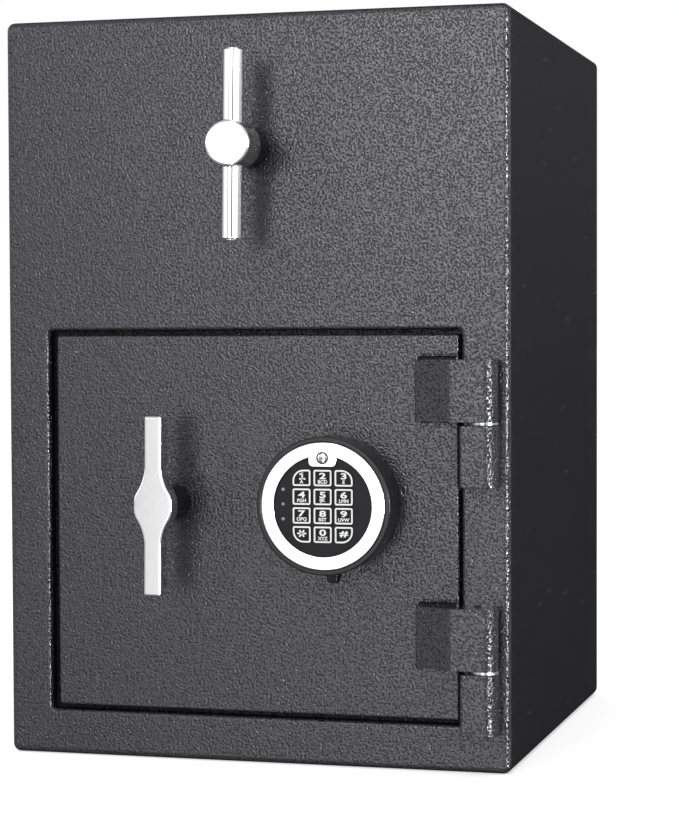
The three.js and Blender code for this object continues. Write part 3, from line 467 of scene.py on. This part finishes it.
def carve(piece, shape):
    """Cuts a shape out of a piece and keeps the result as its mesh."""
    cutter = placed(shape, "cutter")
    piece.modifiers.clear()
    cut = piece.modifiers.new("cut", "BOOLEAN")
    cut.operation = "DIFFERENCE"
    cut.object = cutter
    cut.solver = "EXACT"
    result = bpy.data.meshes.new_from_object(piece.evaluated_get(bpy.context.evaluated_depsgraph_get()))
    piece.modifiers.clear()
    old = piece.data
    piece.data = result
    bpy.data.meshes.remove(old)
    bpy.data.objects.remove(cutter)
    shaded(piece, 35)


def join(bm, other):
    """Adds one shape to another."""
    mesh = bpy.data.meshes.new("part")
    other.to_mesh(mesh)
    other.free()
    bm.from_mesh(mesh)
    bpy.data.meshes.remove(mesh)


def cross_recess(centre, axis, across, size, depth):
    """Cross with four equal arms, for the slots of a screw, through a depth either side of its centre."""
    up = axis.cross(across)
    thin = size * 0.2
    arm = ((thin, thin), (thin, size), (-thin, size))
    corners = [(u * c - v * s, u * s + v * c) for c, s in ((1, 0), (0, 1), (-1, 0), (0, -1)) for u, v in arm]
    return raised([centre + across * u + up * v - axis * depth for u, v in corners], axis * (2 * depth))


def pan_screw(name, centre, axis, head, body, finish="ground_steel"):
    """Pan head screw with a cross recess, its head standing proud along the axis."""
    radius, height = head
    shares = ((0, 1), (0.55, 0.94), (0.86, 0.62), (1, 0.2), (1, 0), (0, 0))
    profile = [(radius * u, height * w) for u, w in shares]
    piece = finished(spun(profile, centre, axis, X, 40), name, finish, body)
    carve(piece, cross_recess(centre + axis * height, axis, X, radius * 0.55, height * 0.6))


# Sizes and colours that a user would change


class SafeSizes(bpy.types.PropertyGroup):
    """Edge roundings and small fittings."""

    sheet_edge: FloatProperty(name="Sheet edge", description="Rounding of a cut sheet edge under paint",
                              default=0.0005, min=0, unit="LENGTH")
    hinge_edge: FloatProperty(name="Hinge edge", description="Rounding of the cast hinge halves",
                              default=0.0013, min=0, unit="LENGTH")
    handle_round: FloatProperty(name="Handle rounding", description="Rounding of the door handle's rims",
                                default=0.0026, min=0, unit="LENGTH")
    handle_lean: FloatProperty(name="Handle lean", description="How far the door handle hangs off upright",
                               default=math.radians(0.55), subtype="ANGLE")
    bar_lean: FloatProperty(name="Bar lean", description="How far the hopper's cross bar hangs off upright",
                            default=math.radians(0.9), subtype="ANGLE")
    weld: FloatProperty(name="Weld bead", description="Radius of the weld beads above the hinge leaves",
                        default=0.0024, min=0, unit="LENGTH")
    key_line: FloatProperty(name="Key line", description="Width of the printed line round each key",
                            default=0.0011, min=0, unit="LENGTH")
    digit: FloatProperty(name="Digit height", description="Height of the printed digits",
                         default=0.0041, min=0, unit="LENGTH")
    letter: FloatProperty(name="Letter height", description="Height of the small letters under the digits",
                          default=0.0023, min=0, unit="LENGTH")


class SafeFinishes(bpy.types.PropertyGroup):
    """Grain and colours of the main finishes."""

    grain: FloatProperty(name="Grain", description="Width of the hammered paint's cells",
                         default=0.0016, min=0.0002, unit="LENGTH")
    paint: StringProperty(name="Paint", description="Hex colour of the hammered paint's raised cells",
                          default="#2f2f36")
    floor_tone: StringProperty(name="Floor", description="Hex colour of the pale floor", default="#f4f4f4")


class SafeStage(bpy.types.PropertyGroup):
    """Camera and light levels."""

    camera_place: FloatVectorProperty(name="Camera", description="Place of the camera", subtype="TRANSLATION",
                                      unit="LENGTH", default=(0.4792, -1.6801, 0.2941))
    azimuth: FloatProperty(name="Azimuth", description="How far the camera stands to the right of the front",
                           default=math.radians(15.536), subtype="ANGLE")
    elevation: FloatProperty(name="Elevation", description="How far the camera looks down",
                             default=math.radians(2.107), subtype="ANGLE")
    roll: FloatProperty(name="Roll", description="Turn of the camera about its own axis",
                        default=math.radians(-0.221), subtype="ANGLE")
    lens: FloatProperty(name="Lens", description="Focal length in millimetres on a 36 mm film side",
                        default=100.75, min=1)
    room: FloatProperty(name="Room light", description="Even light on the object from all round",
                        default=0.62, min=0, subtype="FACTOR")


# Operators


class SAFE_OT_stage(bpy.types.Operator):
    """Sets up the camera, the light tent, the lamps and the pale floor"""

    bl_idname = "safe.stage"
    bl_label = "Stage"

    def execute(self, context):
        settings = context.scene.safe_stage
        azimuth, elevation, roll = settings.azimuth, settings.elevation, settings.roll
        look = Vector((-math.sin(azimuth) * math.cos(elevation), math.cos(azimuth) * math.cos(elevation),
                       -math.sin(elevation)))
        right = look.cross(Z).normalized()
        up = right.cross(look)
        level, tilt = math.cos(roll), math.sin(roll)
        right, up = right * level + up * tilt, up * level - right * tilt
        data = bpy.data.cameras.new("camera")
        data.sensor_width = 36
        data.sensor_fit = "AUTO"
        data.lens = settings.lens
        data.clip_start = 0.05
        camera = bpy.data.objects.new("camera", data)
        turn = Matrix((right, up, -look)).transposed().to_4x4()
        camera.matrix_world = Matrix.Translation(settings.camera_place) @ turn
        context.scene.collection.objects.link(camera)
        context.scene.camera = camera
        context.scene.view_settings.view_transform = "Standard"
        self.tent(context.scene, settings.room)
        self.lamps(context.scene)
        self.floor(context.scene)
        return {"FINISHED"}

    def tent(self, scene, room):
        """White tent with the camera's slit, two seams, a dark back and one strip lamp."""
        world = bpy.data.worlds.new("light_tent")
        world.use_nodes = True
        world.cycles.sampling_method = "NONE"
        scene.world = world
        tree = world.node_tree
        tree.nodes.clear()
        place = add(tree, "TexCoord").outputs["Generated"]
        part = add(tree, "SeparateXYZ", {"Vector": place})
        back = worked(tree, "MULTIPLY", part.outputs["Y"], -1.0)
        turn = worked(tree, "ARCTAN2", part.outputs["X"], back)
        share = ramped(tree, turn, 0.0, 1.0, -math.pi, math.pi)
        off_level = worked(tree, "ABSOLUTE", part.outputs["Z"])
        ray = add(tree, "LightPath").outputs
        # The walls are dimmer below the level of the eye, and far above or below it
        below = ramped(tree, part.outputs["Z"], 0.6, 1.5, -0.04, 0.12)
        wall_height = worked(tree, "MULTIPLY", ramped(tree, off_level, 1.0, 0.4, 0.18, 0.5), below)
        # The lamp's second reflections, from chrome onto paint beside it, are mostly left out
        again = ramped(tree, ray["Glossy Depth"], 1.0, 0.2, 1.0, 2.0)
        lamp_height = worked(tree, "MULTIPLY", ramped(tree, off_level, 1.0, 0.0, 0.14, 0.18), again)
        walls, lamps = (
            add(tree, "VectorMath", {0: self.banded(tree, share, stops), "Scale": height}, operation="SCALE")
            for stops, height in ((WALL, wall_height), (STRIP_LAMP, lamp_height)))
        both = add(tree, "VectorMath", {0: walls.outputs[0], 1: lamps.outputs[0]}, operation="ADD")
        tent = add(tree, "Background", {"Color": both.outputs[0], "Strength": 1.0})
        even = add(tree, "Background", {"Color": (1, 1, 1, 1), "Strength": room})
        white = add(tree, "Background", {"Color": (1, 1, 1, 1), "Strength": 1.0})
        shine = worked(tree, "MAXIMUM", ray["Is Glossy Ray"], ray["Is Transmission Ray"])
        # Light that polished metal would throw on the paint is left out
        direct = worked(tree, "LESS_THAN", ray["Diffuse Depth"], 0.5)
        seen = worked(tree, "MULTIPLY", shine, direct)
        first = add(tree, "MixShader", {0: seen, 1: even.outputs[0], 2: tent.outputs[0]})
        last = add(tree, "MixShader", {0: ray["Is Camera Ray"], 1: first.outputs[0], 2: white.outputs[0]})
        add(tree, "OutputWorld", {"Surface": last.outputs[0]})

    def banded(self, tree, share, stops):
        """Grey level round the tent, from pairs of degrees from the front and level."""
        ramp = add(tree, "ValToRGB", {"Fac": share})
        elements = ramp.color_ramp.elements
        elements.remove(elements[1])
        elements[0].color = (*[stops[0][1]] * 3, 1)
        for degrees, level in stops[1:]:
            elements.new(0.5 + degrees / 360).color = (level, level, level, 1)
        return ramp.outputs["Color"]

    def lamps(self, scene):
        """Two large soft lamps that no gloss shows, because the tent gives the reflections."""
        for name, place, size, watts in (("soft_left", (-1.3, -1.9, 1.5), 1.4, 21.0),
                                         ("soft_top", (0.2, -0.2, 2.3), 1.6, 16.0)):
            lamp = bpy.data.lights.new(name, "AREA")
            lamp.shape = "RECTANGLE"
            lamp.size = lamp.size_y = size
            lamp.energy = watts
            holder = bpy.data.objects.new(name, lamp)
            aim = Vector((0, 0, 0.27)) - Vector(place)
            holder.rotation_euler = aim.to_track_quat("-Z", "Y").to_euler()
            holder.location = place
            holder.visible_glossy = False
            scene.collection.objects.link(holder)

    def floor(self, scene):
        """Pale floor that meets a white background and keeps the object's shadow."""
        bm = bmesh.new()
        bmesh.ops.create_grid(bm, x_segments=1, y_segments=1, size=40)
        floor = placed(bm, "floor")
        floor.location = (0, 0, -0.0002)
        material = bpy.data.materials.new("pale_floor")
        material.use_nodes = True
        tree = material.node_tree
        tree.nodes.clear()
        tone = linear(scene.safe_finishes.floor_tone)
        matt = add(tree, "BsdfDiffuse", {"Color": tone})
        glow = add(tree, "Emission", {"Color": (1, 1, 1, 1), "Strength": 0.5})
        ray = add(tree, "LightPath")
        seen = worked(tree, "MAXIMUM", ray.outputs["Is Camera Ray"], ray.outputs["Is Glossy Ray"])
        plain = add(tree, "Emission", {"Color": (0, 0, 0, 1), "Strength": 0.0})
        lift = add(tree, "MixShader", {0: seen, 1: plain.outputs[0], 2: glow.outputs[0]})
        total = add(tree, "AddShader", {0: matt.outputs[0], 1: lift.outputs[0]})
        add(tree, "OutputMaterial", {"Surface": total.outputs[0]})
        floor.data.materials.append(material)
        floor.visible_glossy = False


class SAFE_OT_cabinet(bpy.types.Operator):
    """Finishes the painted cabinet: wrap, fascia, back plate, door frame and floor mat"""

    bl_idname = "safe.cabinet"
    bl_label = "Cabinet"

    def execute(self, context):
        seams = [corner.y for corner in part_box("cabinet_wrap")]

        def off_seam(edge):
            return all(abs(middle(edge).y - seam) > 1e-4 for seam in seams)

        for node in ("cabinet_wrap", "front_fascia", "back_plate"):
            dressed(node, "hammertone_coat", where=off_seam)
        # The door frame deep in the opening takes the darker coat: painted shade
        dressed("door_frame", "hammertone_painted_shade")
        dressed("floor_mat", "needled_felt", edge=0.0006)
        return {"FINISHED"}


class SAFE_OT_hinges(bpy.types.Operator):
    """Makes the cast hinge halves, their pins and washers, and the weld beads on the door"""

    bl_idname = "safe.hinges"
    bl_label = "Hinges"

    def execute(self, context):
        sizes = context.scene.safe_sizes
        door_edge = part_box("door_plate")[1].x
        for place in ("upper", "lower"):
            dressed(f"hinge_knuckle_{place}", "hammertone_coat", edge=sizes.hinge_edge, segments=3)
            self.leaf(f"hinge_leaf_{place}", sizes.hinge_edge)
            washer = f"hinge_washer_{place}"
            low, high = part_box(washer)
            radius, half = (high.x - low.x) / 2, (high.z - low.z) / 2
            pin_low, pin_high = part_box(f"hinge_pin_{place}")
            bore = (pin_high.x - pin_low.x) / 2 + RUNNING_PLAY
            bm = ring(bore, radius, half, -half, (low + high) / 2, Z, 64)
            round_edges(bm, sharp(bm, 40), PLATE_EDGE, 2)
            finished(bm, washer + "_finished", "ground_steel", "cabinet", [washer])
            dressed(f"hinge_pin_{place}", "ground_steel", edge=0.0005)
            # Beads start inside the leaf's free end and stop just short of the door's edge
            low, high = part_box(f"hinge_leaf_{place}")
            start, end = low.x + 0.001, door_edge - 0.0003
            toe_radius, toe_gap = 0.0014, 0.0004
            faint, deep = 0.08, 0.5
            # The top and bottom beads take the darker coat, painted shade along the leaf's edges; the toe
            # keeps the full coat
            for name, inset, level, radius, ripple, finish in (
                    ("top", 0, high.z, sizes.weld, faint, "hammertone_painted_shade"),
                    ("toe", 0.003, high.z + sizes.weld + toe_gap, toe_radius, deep, "hammertone_coat"),
                    ("bottom", 0.0015, low.z, sizes.weld * 0.5, faint, "hammertone_painted_shade")):
                bm = self.bead(start + inset, end, level, radius, ripple)
                finished(bm, f"weld_{place}_{name}", finish, "door", smooth=60)
        return {"FINISHED"}

    def leaf(self, node, edge):
        """Hinge half on the door: its free end has rounded corners, as cast."""
        bm = merged(node)
        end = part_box(node)[0].x
        corner = 0.0032
        round_edges(bm, [e for e in along(bm, Y) if middle(e).x - end < 0.0001], corner, 5)
        round_edges(bm, sharp(bm), edge, 3)
        finished(bm, node + "_finished", "hammertone_coat", body_of(node), [node])

    def bead(self, left, right, level, radius, ripple):
        """Rippled fillet of weld where a leaf meets the door's face."""
        bm = bmesh.new()
        ring = bmesh.ops.create_circle(bm, cap_ends=False, segments=14, radius=radius)["verts"]
        bmesh.ops.rotate(bm, verts=ring, cent=(0, 0, 0), matrix=Matrix.Rotation(math.pi / 2, 3, "Y"))
        bmesh.ops.translate(bm, verts=ring, vec=(left, FACE_Y, level))
        pitch = 0.0021
        ripples = int((right - left) / pitch)
        shape = [1 - ripple * share for share in (1.0, 0.1, 0.0, 0.5)]
        start = loop = list(bm.edges)
        scale_now = 1.0
        for step in range(ripples * len(shape)):
            grown = bmesh.ops.extrude_edge_only(bm, edges=loop)["geom"]
            verts = [g for g in grown if isinstance(g, bmesh.types.BMVert)]
            loop = [g for g in grown if isinstance(g, bmesh.types.BMEdge)]
            loop = [e for e in loop if all(v in verts for v in e.verts)]
            bmesh.ops.translate(bm, verts=verts, vec=(pitch / len(shape), 0, 0))
            # A slow swell, different at each level, keeps the ripples from being all alike
            wanted = shape[step % len(shape)] * (1 + 0.07 * math.sin(step * 0.9 + level * 900))
            factor = wanted / scale_now
            scale_now = wanted
            centre = sum((v.co for v in verts), Vector()) / len(verts)
            bmesh.ops.scale(bm, verts=verts, vec=(1, factor, factor), space=Matrix.Translation(-centre))
        bmesh.ops.contextual_create(bm, geom=start)
        bmesh.ops.contextual_create(bm, geom=loop)
        bmesh.ops.recalc_face_normals(bm, faces=bm.faces)
        return bm


class SAFE_OT_hopper_seat(bpy.types.Operator):
    """Finishes what carries the drum: throat, collar, bushes, stop ring, bracket and baffles"""

    bl_idname = "safe.hopper_seat"
    bl_label = "Hopper seat"

    def execute(self, context):
        collar("hopper_collar", HOPPER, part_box("front_bush")[1].x + RUNNING_PLAY, 0.0009, 3)
        for node in ("hopper_throat", "baffle_left", "baffle_right", "rear_bracket", "stop_ring"):
            dressed(node, "zinc_plate", edge=PLATE_EDGE)
        for node in ("front_bush", "rear_bush"):
            dressed(node, "turned_brass", edge=PLATE_EDGE)
        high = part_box("rear_bracket")[1]
        inset, plate = 0.012, 0.003
        for side, across in (("left", -1), ("right", 1)):
            for end, level in (("low", -0.019), ("high", 0.019)):
                spot = Vector((across * (high.x - inset), high.y - plate, HOPPER.z + level))
                pan_screw(f"bracket_screw_{side}_{end}", spot, -Y, BRACKET_SCREW, "cabinet")
        return {"FINISHED"}


class SAFE_OT_drum(bpy.types.Operator):
    """Finishes the rotary drum with its discs, spindle, axle and stop pin"""

    bl_idname = "safe.drum"
    bl_label = "Drum"

    def execute(self, context):
        for node in ("drum_shell", "drum_front_disc", "drum_rear_disc"):
            dressed(node, "zinc_plate", edge=PLATE_EDGE)
        for node in ("hopper_spindle", "drum_rear_axle", "stop_pin"):
            dressed(node, "ground_steel", edge=ROD_EDGE)
        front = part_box("drum_front_disc")[0].y
        reach, flange = 0.0122, 0.0032
        for index in range(4):
            turn = math.radians(45 + 90 * index)
            across, rise = reach * math.cos(turn), reach * math.sin(turn)
            spot = Vector((HOPPER.x + across, front - flange, HOPPER.z + rise))
            pan_screw(f"flange_screw_{index + 1}", spot, -Y, FLANGE_SCREW, "hopper")
        # Circlip in a groove near the axle's end
        centre = Vector((HOPPER.x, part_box("drum_rear_axle")[1].y - 0.0025, HOPPER.z))
        shaft, sunk, proud, half = 0.008, 0.0005, 0.0022, 0.0005
        clip = ring(shaft - sunk, shaft + proud, half, -half, centre, Y, 48)
        round_edges(clip, sharp(clip, 40), 0.0002, 2)
        finished(clip, "axle_clip", "ground_steel", "hopper")
        return {"FINISHED"}


class SAFE_OT_hopper_handle(bpy.types.Operator):
    """Makes the chrome hub and cross bar that turn the drum"""

    bl_idname = "safe.hopper_handle"
    bl_label = "Hopper handle"

    def execute(self, context):
        low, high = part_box("hopper_hub")
        radius, front, back = (high.x - low.x) / 2, low.y - HOPPER.y, high.y - HOPPER.y
        bm = spun([(0, back), (radius, back), (radius, front), (0, front)], HOPPER, Y, X, 128)
        round_edges(bm, sharp(bm, 40, lambda e: middle(e).y < HOPPER.y), 0.0022, 6)
        round_edges(bm, sharp(bm, 40, lambda e: middle(e).y > HOPPER.y), 0.0008, 2)
        finished(bm, "hopper_hub_finished", "polished_chrome", "hopper", ["hopper_hub"])
        low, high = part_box("hopper_bar")
        centre = (low + high) / 2
        radius, half = (high.x - low.x) / 2, (high.z - low.z) / 2
        pip, step = 0.0042, 0.0012
        bm = spun([(0, -half), (pip, -half), (pip, step - half), (radius, step - half), (radius, half - step),
                   (pip, half - step), (pip, half), (0, half)], centre, Z, X, 96)
        round_edges(bm, sharp(bm, 40), ROD_EDGE, 3)
        leaned(bm, HOPPER, context.scene.safe_sizes.bar_lean)
        finished(bm, "hopper_bar_finished", "polished_chrome", "hopper", ["hopper_bar"])
        return {"FINISHED"}


class SAFE_OT_door(bpy.types.Operator):
    """Finishes the door plate, its inner cover, bolt guide and dead bar"""

    bl_idname = "safe.door"
    bl_label = "Door"

    def execute(self, context):
        # The hinge side is ground square at its front corner, the other edges are eased
        low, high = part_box("door_plate")
        corner = 0.0024
        bm = merged("door_plate")
        for vert in bm.verts:
            across, depth = high.x - vert.co.x, vert.co.y - low.y
            if across < corner and depth < corner:
                vert.co.x, vert.co.y = (high.x, vert.co.y) if across < depth else (vert.co.x, low.y)
        bmesh.ops.dissolve_degenerate(bm, dist=SAME, edges=bm.edges)
        eased = sharp(bm, 30, lambda edge: middle(edge).x < high.x - 0.0001)
        round_edges(bm, eased, context.scene.safe_sizes.sheet_edge, 2)
        finished(bm, "door_plate_finished", "hammertone_coat", "door", ["door_plate"])
        dressed("door_cover", "satin_enamel", edge=0.0006)
        dressed("bolt_guide", "zinc_plate", edge=PLATE_EDGE)
        dressed("dead_bar", "zinc_plate", edge=0.0008)
        low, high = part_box("door_cover")
        inset = 0.012
        spots = [(u, w) for u in (low.x + inset, high.x - inset)
                 for w in (low.z + inset, (low.z + high.z) / 2, high.z - inset)]
        for index, (u, w) in enumerate(spots):
            pan_screw(f"cover_screw_{index + 1}", Vector((u, high.y, w)), Y, COVER_SCREW, "door")
        return {"FINISHED"}


class SAFE_OT_boltwork(bpy.types.Operator):
    """Makes the three round bolts, the carriage, the cam and the lock"""

    bl_idname = "safe.boltwork"
    bl_label = "Boltwork"

    def execute(self, context):
        for place in ("top", "middle", "bottom"):
            dressed(f"locking_bolt_{place}", "ground_steel", edge=ROD_EDGE)
        dressed("bolt_carriage", "zinc_plate", edge=PLATE_EDGE)
        dressed("drive_cam", "zinc_plate", edge=PLATE_EDGE)
        dressed("lock_case", "zinc_plate", edge=0.001)
        dressed("lock_bolt", "turned_brass", edge=0.0006)
        return {"FINISHED"}


class SAFE_OT_door_handle(bpy.types.Operator):
    """Makes the chrome door handle, its collar and spindle"""

    bl_idname = "safe.door_handle"
    bl_label = "Door handle"

    def execute(self, context):
        low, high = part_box("door_handle")
        half, boss = (high.z - low.z) / 2, (high.x - low.x) / 2
        bar, flare, flat = 0.0061, 0.0185, 0.0059
        side = [(bar, half), (bar, flare), (boss, flat), (boss, -flat), (bar, -flare), (bar, -half)]
        outline = side + [(-u, -w) for u, w in side]
        points = [Vector((HANDLE.x + u, low.y, HANDLE.z + w)) for u, w in outline]
        bm = raised(points, Y * (high.y - low.y))

        def across(u, w):
            spots = [(e, middle(e) - HANDLE) for e in along(bm, Y)]
            return [e for e, spot in spots if abs(abs(spot.x) - u) < 1e-5 and abs(abs(spot.z) - w) < 1e-5]

        # Rounded at the bar's ends, where it flares, and at the boss
        round_edges(bm, across(bar, half), 0.0016, 4)
        round_edges(bm, across(bar, flare), 0.0075, 8)
        round_edges(bm, across(boss, flat), 0.0035, 6)
        rims = sharp(bm, 60, lambda e: min(abs(middle(e).y - low.y), abs(middle(e).y - high.y)) < SAME)
        round_edges(bm, rims, context.scene.safe_sizes.handle_round, 6)
        leaned(bm, HANDLE, context.scene.safe_sizes.handle_lean)
        finished(bm, "door_handle_finished", "polished_chrome", "handle", ["door_handle"], smooth=40)
        collar("handle_collar", HANDLE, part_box("handle_spindle")[1].x - HANDLE.x + 0.0003, 0.0016, 4)
        dressed("handle_spindle", "ground_steel", edge=ROD_EDGE)
        return {"FINISHED"}


class SAFE_OT_keypad(bpy.types.Operator):
    """Makes the keypad's housing, chrome ring with its screw, panel, lamps and nub"""

    bl_idname = "safe.keypad"
    bl_label = "Keypad"

    def execute(self, context):
        low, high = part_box("keypad_housing")
        radius, front, back = (high.x - low.x) / 2, low.y - KEYPAD.y, high.y - KEYPAD.y
        ring_low, ring_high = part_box("keypad_ring")
        seat, rim = 0.00025, 0.0011
        bore = (ring_high.x - ring_low.x) / 2 + seat
        floor = ring_high.y + seat - KEYPAD.y
        arc = [(radius - rim * (1 - math.sin(a)), front + rim * (1 - math.cos(a)))
               for a in (math.radians(15 * i) for i in range(7))]
        foot = radius - 0.0007
        profile = [(0, floor), (bore, floor), (bore, front + 0.0003), (bore + 0.0004, front), *arc,
                   (radius, back - 0.0012), (foot, back - 0.0006), (foot, back), (0, back)]
        finished(spun(profile, KEYPAD, Y, X, 128), "keypad_housing_finished", "moulded_satin", "door",
                 ["keypad_housing"])
        dressed("keypad_ring", "polished_chrome", edge=PLATE_EDGE)
        dressed("keypad_panel", "moulded_black", edge=0.0002)
        dressed("contact_nub", "moulded_black", edge=0.0005)
        # Screw head on the ring's tab, with a black ring round it and a black cross in its recess: painted
        # shade
        tab = 0.032
        spot = Vector((KEYPAD.x, ring_low.y, KEYPAD.z + tab))
        # Black ring where the head meets the chrome ring: painted shade
        seam = ring(0.0028, 0.0041, -0.0001, 0.0003, spot, Y, 48)
        finished(seam, "ring_screw_shade_ring", "moulded_black", "door")
        pan_screw("ring_screw", spot, -Y, RING_SCREW, "door", "polished_chrome")
        # Black cross in the screw's recess: painted shade
        cross = cross_recess(spot - Y * RING_SCREW[1], Y, X, 0.0016, 0.00012)
        finished(cross, "ring_screw_cross_shade", "moulded_black", "door")
        dressed("led_light_pipe", "smoked_acrylic", edge=0)
        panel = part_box("keypad_panel")[0].y
        dome = [(0, -0.0006), (0.0006, -0.00045), (0.001, -0.0002),
                (0.00122, 0.0001), (0.00122, 0.0006), (0, 0.0006)]
        column = KEYPAD.x - 0.0275
        for index, height in enumerate((0.0109, 0.001, -0.0088)):
            lens = spun(dome, Vector((column, panel, KEYPAD.z + height)), Y, X, 32)
            finished(lens, f"lamp_lens_{index + 1}", "smoked_acrylic", "door")
        return {"FINISHED"}


class SAFE_OT_keys(bpy.types.Operator):
    """Makes the twelve keys and what is printed on them"""

    bl_idname = "safe.keys"
    bl_label = "Keys"

    def execute(self, context):
        sizes = context.scene.safe_sizes
        letters = {"1": "A", "2": "BCD", "3": "E", "4": "FGH", "5": "IJK", "6": "LMN", "7": "OPQ", "8": "RST",
                   "9": "UVW", "0": "XYZ", "star": "", "hash": ""}
        wide = {"1": (-1, 1), "3": (1, 1), "star": (-1, -1), "hash": (1, -1)}
        for label, small in letters.items():
            node = f"key_{label}"
            low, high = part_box(node)
            body = body_of(node)
            cap = self.cap(low, high, wide.get(label), 0)
            round_edges(cap, sharp(cap, 40, lambda e: abs(middle(e).y - low.y) < SAME), 0.0004, 3)
            finished(cap, f"{node}_finished", "smooth_abs", body, [node])
            # The line round a key is the rim of a slightly smaller cap, 0.04 mm proud of its face
            line = self.cap(low - Y * 0.00004, high, wide.get(label), 0.0002)
            line.faces.ensure_lookup_table()
            face = min(line.faces, key=lambda f: f.calc_center_median().y)
            band = bmesh.ops.inset_region(line, faces=[face], thickness=sizes.key_line)["faces"]
            bmesh.ops.delete(line, geom=[f for f in line.faces if f not in band], context="FACES")
            grown = bmesh.ops.extrude_face_region(line, geom=band, use_keep_orig=True)["geom"]
            moved = [g for g in grown if isinstance(g, bmesh.types.BMVert)]
            bmesh.ops.translate(line, vec=Y * 0.00006, verts=moved)
            bmesh.ops.recalc_face_normals(line, faces=line.faces)
            # Digits stand above the middle, higher where there are letters to leave room for
            centre = (low + high) / 2
            centre.y = low.y - 0.00002
            spot = centre + Z * (0.00135 if small else 0.0006)
            half = sizes.digit / 2
            if label == "star":
                arms = [(math.cos(a) * half * 1.25, math.sin(a) * half)
                        for a in (0, math.radians(60), math.radians(120))]
                self.strokes(line, [((-u, -w), (u, w)) for u, w in arms], spot, half * 0.55)
            elif label == "1":
                stem, foot = half * 0.25, half * 0.8
                flag = ((stem, half * 0.8), (stem - half * 0.7, half * 0.5))
                self.strokes(line, [((stem, -half), (stem, half)), flag,
                                    ((stem - foot, -half), (stem + foot, -half))], spot, half * 0.5)
            else:
                self.lettered(line, "#" if label == "hash" else label, spot, sizes.digit, 1.7, 0.03)
            if small:
                self.lettered(line, small, centre - Z * 0.0025, sizes.letter, 1.05, 0.035)
            finished(line, f"{node}_print", "print_ink", body)
        return {"FINISHED"}

    def cap(self, low, high, wide, inset):
        """Key shape with rounded corners, one of them wide on the four outer keys."""
        low = Vector((low.x + inset, low.y, low.z + inset))
        high = Vector((high.x - inset, high.y, high.z - inset))
        bm = block(low, high)
        centre = (low + high) / 2

        def is_wide(edge):
            spot = middle(edge) - centre
            return wide and spot.x * wide[0] > 0 and spot.z * wide[1] > 0

        small = [e for e in along(bm, Y) if not is_wide(e)]
        big = [e for e in along(bm, Y) if is_wide(e)]
        round_edges(bm, small, 0.0015 - inset, 5)
        if big:
            round_edges(bm, big, 0.0076 - inset, 10)
        return bm

    def strokes(self, bm, lines, centre, width):
        """Adds a sign drawn with straight strokes, from pairs of (X, Z) points about its centre."""
        for start, end in lines:
            first, last = (centre + X * u + Z * w for u, w in (start, end))
            way = (last - first).normalized() * (width / 2)
            side = way.cross(Y)
            corners = [first - way - side, last + way - side, last + way + side, first - way + side]
            join(bm, raised(corners, Y * 0.00005))

    def lettered(self, bm, text, centre, height, stretch, weight):
        """Adds thin raised letters in the plane of the keys, made a mesh before they are placed."""
        curve = bpy.data.curves.new("letters", "FONT")
        curve.body = text
        curve.size = 1.0
        curve.align_x = "CENTER"
        curve.offset = weight
        curve.extrude = 0.004
        curve.resolution_u = 6
        holder = bpy.data.objects.new("letters", curve)
        bpy.context.scene.collection.objects.link(holder)
        solid = holder.evaluated_get(bpy.context.evaluated_depsgraph_get())
        mesh = bpy.data.meshes.new_from_object(solid)
        bpy.data.objects.remove(holder)
        bpy.data.curves.remove(curve)
        low = [min(v.co[i] for v in mesh.vertices) for i in range(2)]
        high = [max(v.co[i] for v in mesh.vertices) for i in range(2)]
        # A digit of the built-in font is taken to be 0.74 high at size 1
        scale = height / 0.74
        middle_point = Matrix.Translation((-(low[0] + high[0]) / 2, -(low[1] + high[1]) / 2, 0))
        size = Matrix.Diagonal((scale * stretch, scale, scale, 1))
        upright = Matrix.Rotation(math.pi / 2, 4, "X")
        mesh.transform(Matrix.Translation(centre) @ upright @ size @ middle_point)
        bm.from_mesh(mesh)
        bpy.data.meshes.remove(mesh)


class SAFE_PT_panel(bpy.types.Panel):
    """Lists the safe's sizes, finishes and building steps"""

    bl_idname = "SAFE_PT_panel"
    bl_label = "Rotary Hopper Safe"
    bl_space_type = "VIEW_3D"
    bl_region_type = "UI"
    bl_category = "Safe"

    def draw(self, context):
        for group in ("safe_sizes", "safe_finishes", "safe_stage"):
            settings = getattr(context.scene, group)
            box = self.layout.box()
            for name in settings.bl_rna.properties.keys():
                if name not in ("rna_type", "name"):
                    box.prop(settings, name)
        for step in STEPS:
            self.layout.operator(step.bl_idname)


STEPS = (SAFE_OT_stage, SAFE_OT_cabinet, SAFE_OT_hinges, SAFE_OT_hopper_seat, SAFE_OT_drum,
         SAFE_OT_hopper_handle, SAFE_OT_door, SAFE_OT_boltwork, SAFE_OT_door_handle, SAFE_OT_keypad,
         SAFE_OT_keys)
GROUPS = {"safe_sizes": SafeSizes, "safe_finishes": SafeFinishes, "safe_stage": SafeStage}


def register():
    for group in GROUPS.values():
        bpy.utils.register_class(group)
    for name, group in GROUPS.items():
        setattr(bpy.types.Scene, name, PointerProperty(type=group))
    for step in STEPS:
        bpy.utils.register_class(step)
    bpy.utils.register_class(SAFE_PT_panel)


def unregister():
    bpy.utils.unregister_class(SAFE_PT_panel)
    for step in reversed(STEPS):
        bpy.utils.unregister_class(step)
    for name, group in GROUPS.items():
        delattr(bpy.types.Scene, name)
        bpy.utils.unregister_class(group)


def main():
    register()
    for step in STEPS:
        group, action = step.bl_idname.split(".")
        getattr(getattr(bpy.ops, group), action)()


if __name__ == "__main__":
    main()
